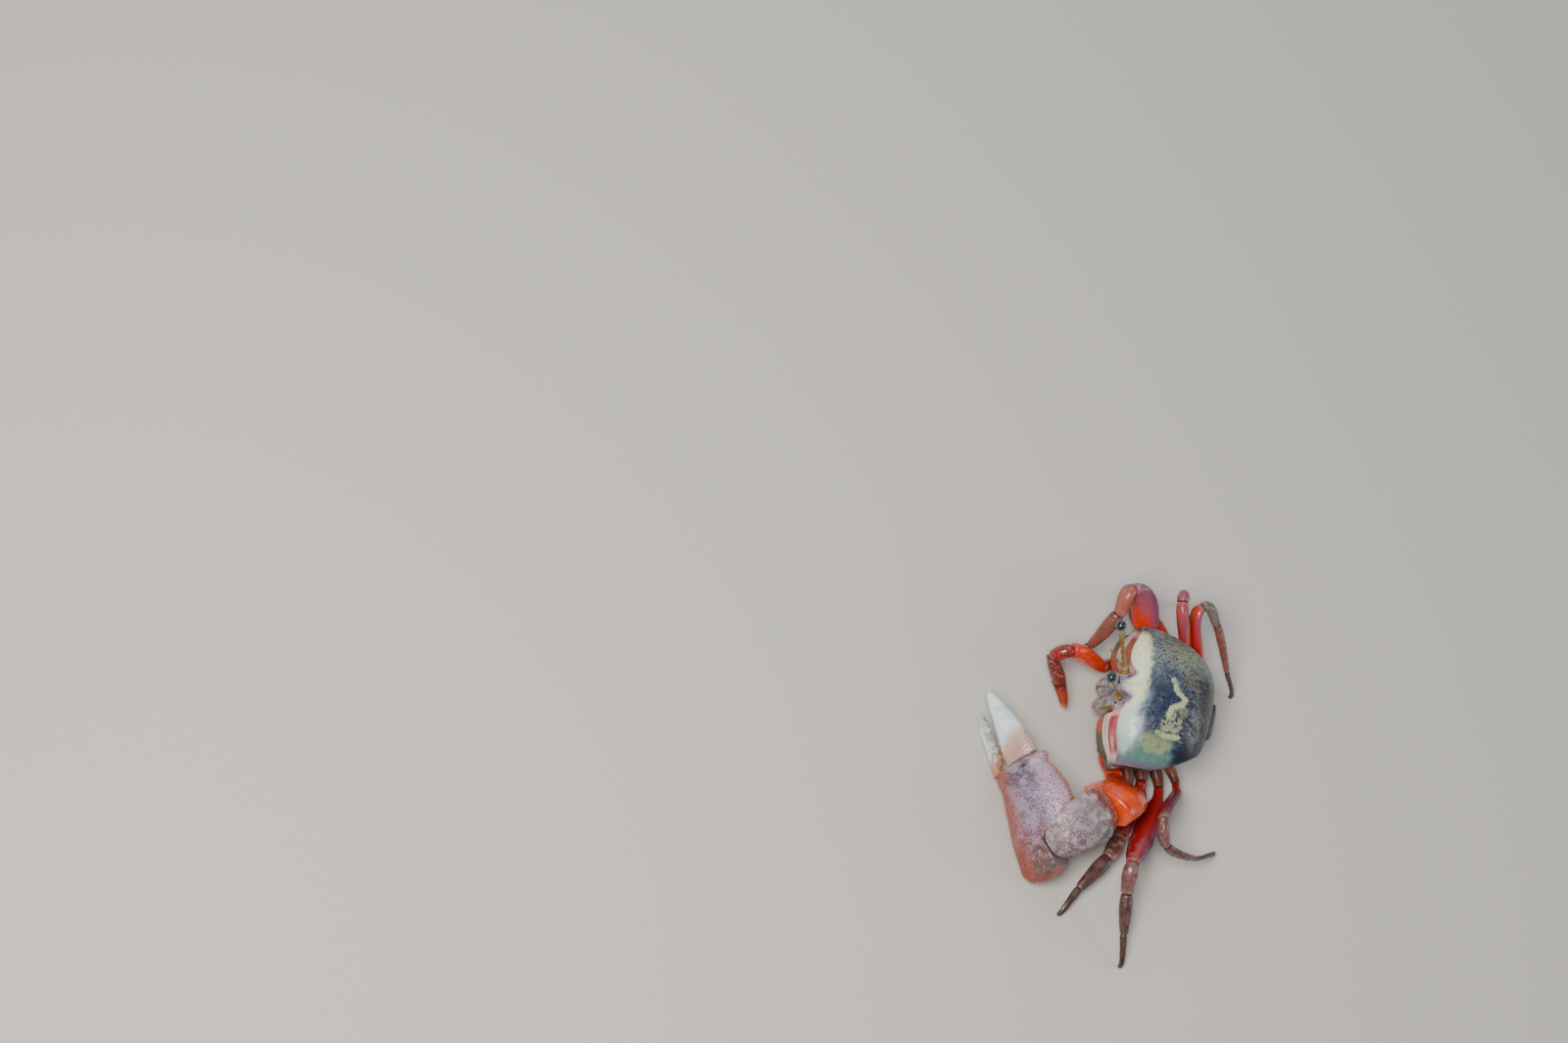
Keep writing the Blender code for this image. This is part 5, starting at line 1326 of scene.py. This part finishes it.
tone = coat(tone, "#9A4636", low_edge * 0.85)
tone = coat(tone, "#883426", smooth(1.0, -6.0, along + (cloud - 0.5) * 4.0) * 0.8)
tone = coat(tone, "#A63A20", smooth(1.1, 0.3, height - low_line) * (along < 15) * 0.7)
upward = normals @ CLAW_HIGH
crest = smooth(0.25, -0.15, normals @ CLAW_OUT) * smooth(0.25, 0.5, upward) * (along > -1) * (along < 13)
tone = coat(tone, "#B0543C", crest * 0.8)
glints = smooth(0.45, 1.0, tops)
tone = coat(tone, "#D6CCDA", glints * (1 - low_edge) * (0.25 + 0.5 * fine))
tone = coat(tone, "#CF9A88", glints * low_edge * (0.15 + 0.40 * fine))
tone = coat(tone, "#E0946C", glints * crest * 0.7)
tone = coat(tone, "#3A1C34", pit_tops * 0.5)
smear = blot(along, height, (10.2, 0.4), (2.6, 1.9), cloud)
smear = smear + blot(along, height, (9.2, -3.0), (2.0, 1.8), cloud)
smear = smear * smooth(0.35, 0.6, mottle(points, 0.8, 73)) * front
tone = coat(tone, "#55525E", smear * 0.75)
tone = coat(tone, "#1E1A26", socket * front)
tone = coat(tone, "#5A3A34", pit * front * 0.8)
crumbs = smooth(0.42, 0.62, mottle(points, 0.9, 77))
heel_mud = blot(along, height, (-6.2, -5.6), (3.6, 2.2), 0.5 + (cloud - 0.5) * 0.6) * front * crumbs
heel_mud = heel_mud + blot(along, height, (-8.4, -6.0), (1.8, 3.4), cloud) * crumbs
tone = coat(tone, "#50544A", heel_mud * 0.85)
fold = smooth(0.7, 0.1, seat(along) - height) * (along < 0.5)
tone = coat(tone, "#6E5A64", fold * 0.8)
bare = smooth(13.4, 16.6, along + (cloud - 0.5) * 2.0)
porcelain = np.tile(ink("#C2D6DE"), (len(points), 1))
porcelain = coat(porcelain, "#E9F1F2", smooth(0.45, 0.65, mottle(points, (3.0, 3.0, 3.0), 74)))
porcelain = coat(porcelain, "#C08A5E", cutting * smooth(0.40, 0.60, mottle(points, 0.7, 75)) * 0.7)
porcelain = coat(porcelain, "#7A5434", cutting * smooth(0.60, 0.68, mottle(points, 0.5, 76)) * 0.8)
porcelain = coat(porcelain, "#8E8468", smooth(0.35, 0.75, rise) * (0.3 + 0.5 * smooth(0.45, 0.6, cloud)))
porcelain = coat(porcelain, "#7C5A30", smooth(19.0, 13.5, along) * smooth(0.35, 0.8, rise) * 0.6)
tone = tone * (1 - bare)[:, None] + porcelain * bare[:, None]
neck = smooth(11.6, 13.0, along) * (1 - smooth(14.5, 17.0, along))
tone = coat(tone, "#CDA07C", neck * 0.5)
pigment(hand, tone, mud=np.clip(smear + heel_mud, 0, 1) * 0.8)
place(hand, "claw_major_manus", grain_skin)


# ================================================================ large claw: movable finger
# The dactyl, hinged to the top of the palm: a long curved blade of white porcelain-like shell, warty and
# tinged with orange at its base, with a row of blunt teeth below and a shallow groove along its side.
FINGER_SIDES = 200
FINGER_ROOT = FINGER_START + GAP + 0.25
finger_stations = np.concatenate([
    np.linspace(0.0, 0.4, 6), np.arange(0.48, 14.1, 0.085), np.linspace(14.15, DACTYL_LENGTH, 14)
])
finger_rings = []
low, high = DACTYL_LOWER[0][1], DACTYL_UPPER[0][1]
middle = (low + high) / 2
for back, draw in ((0.75, 0.62), (0.6, 0.78), (0.35, 0.90), (0.12, 0.97)):
    finger_rings.append(oval(
        FINGER_ROOT - back, middle + (low - middle) * draw, middle + (high - middle) * draw,
        DACTYL_THICKNESS[0][1] * draw, FINGER_SIDES, 2.1,
    ))
for station in finger_stations:
    rounded = 1 - 0.45 * smooth(DACTYL_LENGTH - 0.9, DACTYL_LENGTH, station) ** 2
    low, high = float(spline(DACTYL_LOWER, station)), float(spline(DACTYL_UPPER, station))
    middle = (low + high) / 2
    finger_rings.append(oval(
        FINGER_ROOT + station, middle + (low - middle) * rounded,
        middle + (high - middle) * rounded, float(spline(DACTYL_THICKNESS, station)) * rounded,
        FINGER_SIDES, 2.1,
    ))
finger = loft("claw_major_dactyl_blade", finger_rings)
points = points_of(finger)[0]
offset = points - CLAW_WRIST
along = offset @ CLAW_LONG - FINGER_ROOT
height = offset @ CLAW_HIGH
low_line = np.array([float(spline(DACTYL_LOWER, a)) for a in along])
top_line = np.array([float(spline(DACTYL_UPPER, a)) for a in along])
finger_turn = np.tile(np.linspace(0, 2 * math.pi, FINGER_SIDES, endpoint=False), len(finger_rings))
finger_turn = np.concatenate([finger_turn, [0, 0]])
cutting = line_along(finger_turn, math.pi, 0.30) * smooth(0.9, 1.5, along)
cloud = mottle(points, 2.0, 81)
slope = along - 1.6 - 0.42 * (height + 3.0)
base = 1 - smooth(-0.5, 0.6, along - 0.9 - 0.75 * (height + 2.0) + (cloud - 0.5) * 0.8)
base = base * (1 - smooth(4.2, 5.4, along))
picked = scatter(points, 0.48, (base > 0.35) & (along > 0.3))
crest = scatter(points, 0.6, (top_line - height < 0.7) & (along > 0.3) & (along < 8.0))
chosen = picked + crest
rises = [0.07] * len(picked) + [0.09 * (1 - along[i] / 9) for i in crest]
grains, tops = beads(points, chosen, 0.24, rises)
groove = line(height, 0.62 * top_line + 0.38 * low_line, 0.30) * smooth(2, 4, along) * smooth(12, 9, along)
relief = grains - 0.07 * groove + 0.05 * (cloud - 0.5) + cutting * tooth_heights(along, finger_teeth)
raise_skin(finger, relief)
tone = np.tile(ink("#C2E2EE"), (len(points), 1))
tone = coat(tone, "#F4FCFC", smooth(0.34, 0.58, mottle(points, (4.5, 4.5, 4.5), 82)))
tone = coat(tone, "#98C8DA", smooth(1.2, 0.1, height - low_line) * smooth(3.0, 7.0, along) * 0.8)
tone = coat(tone, "#A8D0DE", smooth(0.8, 0.1, top_line - height) * smooth(4.0, 8.0, along) * 0.6)
tone = coat(tone, "#E6DCC0", smooth(6.0, 2.5, along) * 0.6)
tone = coat(tone, "#C4844C", smooth(3.4, 0.4, slope) * 0.7)
tone = coat(tone, "#B48C8C", base * 0.85)
tone = coat(tone, "#D8C0BE", smooth(0.45, 1.0, tops) * 0.6)
tone = coat(tone, "#B98050", cutting * smooth(0.42, 0.6, mottle(points, 0.7, 83)) * 0.7)
tone = coat(tone, "#704828", cutting * smooth(0.60, 0.68, mottle(points, 0.5, 84)) * 0.8)
tone = coat(tone, "#5E4038", smooth(0.25, 0.0, along) * 0.7)
pigment(finger, tone, mud=0.1 * cloud)
# Bare dense shell, polished by use: like glazed porcelain, faintly see-through at its edges.
porcelain_skin = cuticle("porcelain-like finger shell", 0.26, 0.6, 0.30, 0.006, depth=0.06, flesh=0.25)
place(finger, "claw_major_dactyl", porcelain_skin)


# ================================================================ small claw
# The feeding claw on the right: a glossy orange arm, and a small red-brown hand with two thin fingers
# like spoons that meet in front of the mouth. Thin hard shell, finely grained over wrist and palm.
SMALL_ELBOW = (-4.4, -19.9, -3.2)
SMALL_WRIST = (-2.6, -22.4, -5.6)
SMALL_KNUCKLE = (0.6, -19.6, -9.4)
SMALL_TIP = (3.6, -15.6, -11.6)
small_root = (-6.0, -5.4, COXA)
small_joints = (small_root, SMALL_HIP, SMALL_ISCHIUM_END, SMALL_ELBOW, SMALL_WRIST, SMALL_KNUCKLE)
small_planes = [joint_plane(*small_joints[k : k + 3]) for k in range(4)]
# node, its two ends, widths, thicknesses, swing, base colour, cloud colour
SMALL_LENGTHS = (
    ("ischium", (SMALL_HIP, SMALL_ISCHIUM_END), ((0, 2.2), (1, 2.5)), ((0, 2.2), (1, 2.4)), 1.0,
     "#A02810", "#6A1C10"),
    ("merus", (SMALL_ISCHIUM_END, SMALL_ELBOW), ((0, 2.5), (0.3, 3.7), (0.7, 4.1), (1, 3.5)),
     ((0, 2.4), (0.5, 3.3), (1, 3.0)), 0.5, "#E63400", "#F24C00"),
    ("carpus", (SMALL_ELBOW, SMALL_WRIST), ((0, 3.0), (0.5, 3.3), (1, 2.9)),
     ((0, 2.7), (0.5, 3.0), (1, 2.6)), 1.0, "#962216", "#641C16"),
)
for k, (kind, ends, widths, thicknesses, swing, code, second) in enumerate(SMALL_LENGTHS):
    rings, share, turn = limb(ends, small_planes[k : k + 2], (0, 0, 1), widths, thicknesses, swing, sides=72)
    piece = loft("claw_minor_" + kind + "_shell", rings)
    points = points_of(piece)[0]
    cloud = mottle(points, 1.5, 91 + k)
    fleck = mottle(points, 0.45, 95 + k)
    edge_line = line_along(turn, 0.0, 0.35) * (share > 0.1) * (share < 0.95)
    grainy = (edge_line > 0.5) | ((kind == "carpus") & (share > 0.15))
    picked = scatter(points, 0.5, grainy)
    grains, tops = beads(points, picked, 0.2, 0.035)
    raise_skin(piece, grains + 0.05 * (cloud - 0.5) + 0.02 * (fleck - 0.5))
    tone = np.tile(ink(code), (len(points), 1))
    tone = coat(tone, second, smooth(0.45, 0.68, cloud) * 0.8)
    # The grains' tops are painted paler: partly their own colour, partly a painted highlight.
    tone = coat(tone, "#D07A58", tops * 0.3)
    if kind == "carpus":
        tone = coat(tone, "#8E5A50", smooth(0.62, 0.70, fleck) * 0.4)
    tone = coat(tone, "#A83C3C", smooth(0.86, 0.97, share) * 0.5)
    tone = coat(tone, "#4A1A14", (1 - smooth(0.0, 0.05, share)) * 0.7)
    pigment(piece, tone, mud=0.15 * fleck)
    place(piece, "claw_minor_" + kind, arm_skin)

SPOON_HIGH = (
    (0, 1.30), (0.2, 1.75), (0.45, 1.70), (0.48, 1.50), (0.53, -0.25), (0.8, -0.15), (1, -0.25)
)
SPOON_LOW = ((0, -1.40), (0.2, -1.75), (0.5, -1.55), (0.8, -1.05), (1, -0.75))
SPOON_THICK = ((0, 2.2), (0.25, 2.6), (0.5, 2.1), (0.6, 1.4), (1, 0.7))
TOP_SPOON_HIGH = ((0, 1.45), (0.3, 1.5), (0.7, 1.15), (1, 0.45))
TOP_SPOON_THICK = ((0, 1.9), (0.4, 1.5), (1, 0.7))
PALM_END = 0.48
TOP_SPOON_START = PALM_END + 0.055
TOP_SPOON_END = 0.98
hand_axis = unit(np.subtract(SMALL_TIP, SMALL_WRIST))
hand_length = np.linalg.norm(np.subtract(SMALL_TIP, SMALL_WRIST))
hand_high = unit(np.array((0, 0, 1.0)) - hand_axis * hand_axis[2])
hand_thin = np.cross(hand_axis, hand_high)
circle = np.linspace(0, 2 * math.pi, 72, endpoint=False)
palm_rings, finger_rings = [], []
for t in [*np.linspace(-0.03, 0.47, 48), *np.linspace(0.475, 0.54, 14), *np.linspace(0.55, 1.0, 50)]:
    low, top = float(spline(SPOON_LOW, t)), float(spline(SPOON_HIGH, t))
    draw = (1 - 0.35 * smooth(0.94, 1.0, t) ** 2) * (1 - 0.4 * smooth(0.03, -0.03, t))
    half = float(spline(SPOON_THICK, t)) / 2 * draw
    offset = np.outer((top + low) / 2 + (top - low) / 2 * draw * np.cos(circle), hand_high)
    offset += np.outer(half * np.sin(circle), hand_thin)
    near = (GAP / 2 - offset @ small_planes[3]) / (hand_axis @ small_planes[3])
    reach = near * (1 - max(t, 0)) + hand_length * t
    palm_rings.append(np.asarray(SMALL_WRIST) + offset + np.outer(reach, hand_axis))
for t in np.concatenate([[-0.06, -0.04, -0.02], np.linspace(0, 1, 70)]):
    top = float(spline(TOP_SPOON_HIGH, t))
    draw = 1 - 0.4 * smooth(0.0, -0.06, t) - 0.3 * smooth(0.93, 1.0, t) ** 2
    low = 0.12 - 0.05 * max(t, 0)
    half = float(spline(TOP_SPOON_THICK, t)) / 2 * draw
    reach = hand_length * TOP_SPOON_START + GAP + (hand_length * (TOP_SPOON_END - PALM_END) - GAP) * t
    offset = np.outer((top + low) / 2 + (top - low) / 2 * draw * np.cos(circle), hand_high)
    finger_rings.append(
        np.asarray(SMALL_WRIST) + hand_axis * reach + offset + np.outer(half * np.sin(circle), hand_thin)
    )
for node, name, rings in (
    ("claw_minor_manus", "claw_minor_manus_shell", palm_rings),
    ("claw_minor_dactyl", "claw_minor_dactyl_shell", finger_rings),
):
    piece = loft(name, rings)
    points = points_of(piece)[0]
    reach = (points - np.asarray(SMALL_WRIST)) @ hand_axis / hand_length
    cloud = mottle(points, 1.2, 98)
    fleck = mottle(points, 0.4, 99)
    picked = scatter(points, 0.45, (reach > 0.03) & (reach < 0.5))
    grains = beads(points, picked, 0.18, 0.05)[0]
    raise_skin(piece, grains + 0.04 * (cloud - 0.5))
    tone = np.tile(ink("#7E2014"), (len(points), 1))
    tone = coat(tone, "#581C18", smooth(0.5, 0.7, cloud) * 0.8)
    tone = coat(tone, "#A47A74", smooth(0.62, 0.70, fleck) * smooth(0.6, 0.4, reach) * 0.5)
    tone = coat(tone, "#A8441C", smooth(0.5, 0.75, reach) * 0.8)
    tone = coat(tone, "#D09A68", smooth(0.86, 1.0, reach) * 0.6)
    pigment(piece, tone, mud=0.2 * fleck)
    place(piece, node, leg_skin)


# ================================================================ floor, light and camera
# A plain flat floor of pale matt paper, a soft square lamp above the crab's front left, a weaker one on
# its right and one behind it, and an even pale sky. The camera looks down on the large claw's side.
floor_half = 0.55
bpy.ops.object.select_all(action="DESELECT")
bpy.ops.mesh.primitive_plane_add(size=floor_half * 2, location=(0, 0, 0))
floor = bpy.context.active_object
floor.name = "pale_floor"
paper = bpy.data.materials.new("matt grey-white paper")
paper.use_nodes = True
paper_tree = paper.node_tree
paper_shader = paper_tree.nodes["Principled BSDF"]
paper_place = add_node(paper_tree, "ShaderNodeTexCoord")
fibre = add_node(
    paper_tree, "ShaderNodeTexNoise", inputs={"Scale": 900.0, "Detail": 3.0},
    links=[("Vector", paper_place, "Object")],
)
paper_relief = add_node(
    paper_tree, "ShaderNodeBump", inputs={"Distance": 0.05 * MM, "Strength": 0.3},
    links=[("Height", fibre, "Fac")],
)
paper_tree.links.new(paper_relief.outputs["Normal"], paper_shader.inputs["Normal"])
paper_shader.inputs["Base Color"].default_value = (*ink("#C9C6C0"), 1.0)
paper_shader.inputs["Roughness"].default_value = 0.85
floor.data.materials.append(paper)

sky = bpy.data.worlds.new("even pale sky")
bpy.context.scene.world = sky
sky.use_nodes = True
sky.node_tree.nodes["Background"].inputs["Color"].default_value = (*ink("#DDE4EC"), 1.0)
sky.node_tree.nodes["Background"].inputs["Strength"].default_value = 0.22

# name, place in metres, side of the square lamp, watts, colour
LAMPS = (
    ("key_light", (0.16, -0.24, 0.42), 0.20, 3.0, "#FFF8F0"),
    ("fill_light", (-0.35, -0.10, 0.30), 0.40, 0.6, "#E6EEFA"),
    ("rim_light", (-0.05, 0.40, 0.22), 0.25, 0.5, "#FFFFFF"),
)
for lamp_name, spot, side, watts, tone in LAMPS:
    light = bpy.data.lights.new(lamp_name, "AREA")
    light.size = side
    light.energy = watts
    light.color = ink(tone)
    lamp = bpy.data.objects.new(lamp_name, light)
    bpy.context.scene.collection.objects.link(lamp)
    aim = Vector((0.0, 0.0, 0.01)) - Vector(spot)
    lamp.rotation_euler = aim.to_track_quat("-Z", "Y").to_euler()
    lamp.location = spot

# The camera's own axes in the crab's frame: back towards the camera, and its right.
PIXELS_PER_MM = 5.23
FRAME_PIXELS = (1600, 1064)
BODY_PIXEL = (1188, 715)
LENS = 200.0
SENSOR = 36.0
view_back = Vector((0.405, -0.319, 0.859)).normalized()
view_right = Vector((-0.201, 0.885, 0.423))
view_right = (view_right - view_back * view_right.dot(view_back)).normalized()
view_up = view_back.cross(view_right)
right_shift = (FRAME_PIXELS[0] / 2 - BODY_PIXEL[0]) / PIXELS_PER_MM
up_shift = (BODY_PIXEL[1] - FRAME_PIXELS[1] / 2) / PIXELS_PER_MM
centre = BODY + (view_right * right_shift + view_up * up_shift) * MM
away = FRAME_PIXELS[0] / PIXELS_PER_MM / SENSOR * LENS * MM
lens_data = bpy.data.cameras.new("camera")
lens_data.lens = LENS
lens_data.sensor_width = SENSOR
lens_data.clip_end = 10.0
camera = bpy.data.objects.new("camera", lens_data)
bpy.context.scene.collection.objects.link(camera)
turn = Matrix((view_right, view_up, view_back)).transposed().to_4x4()
turn.translation = centre + view_back * away
camera.matrix_world = turn
bpy.context.scene.camera = camera
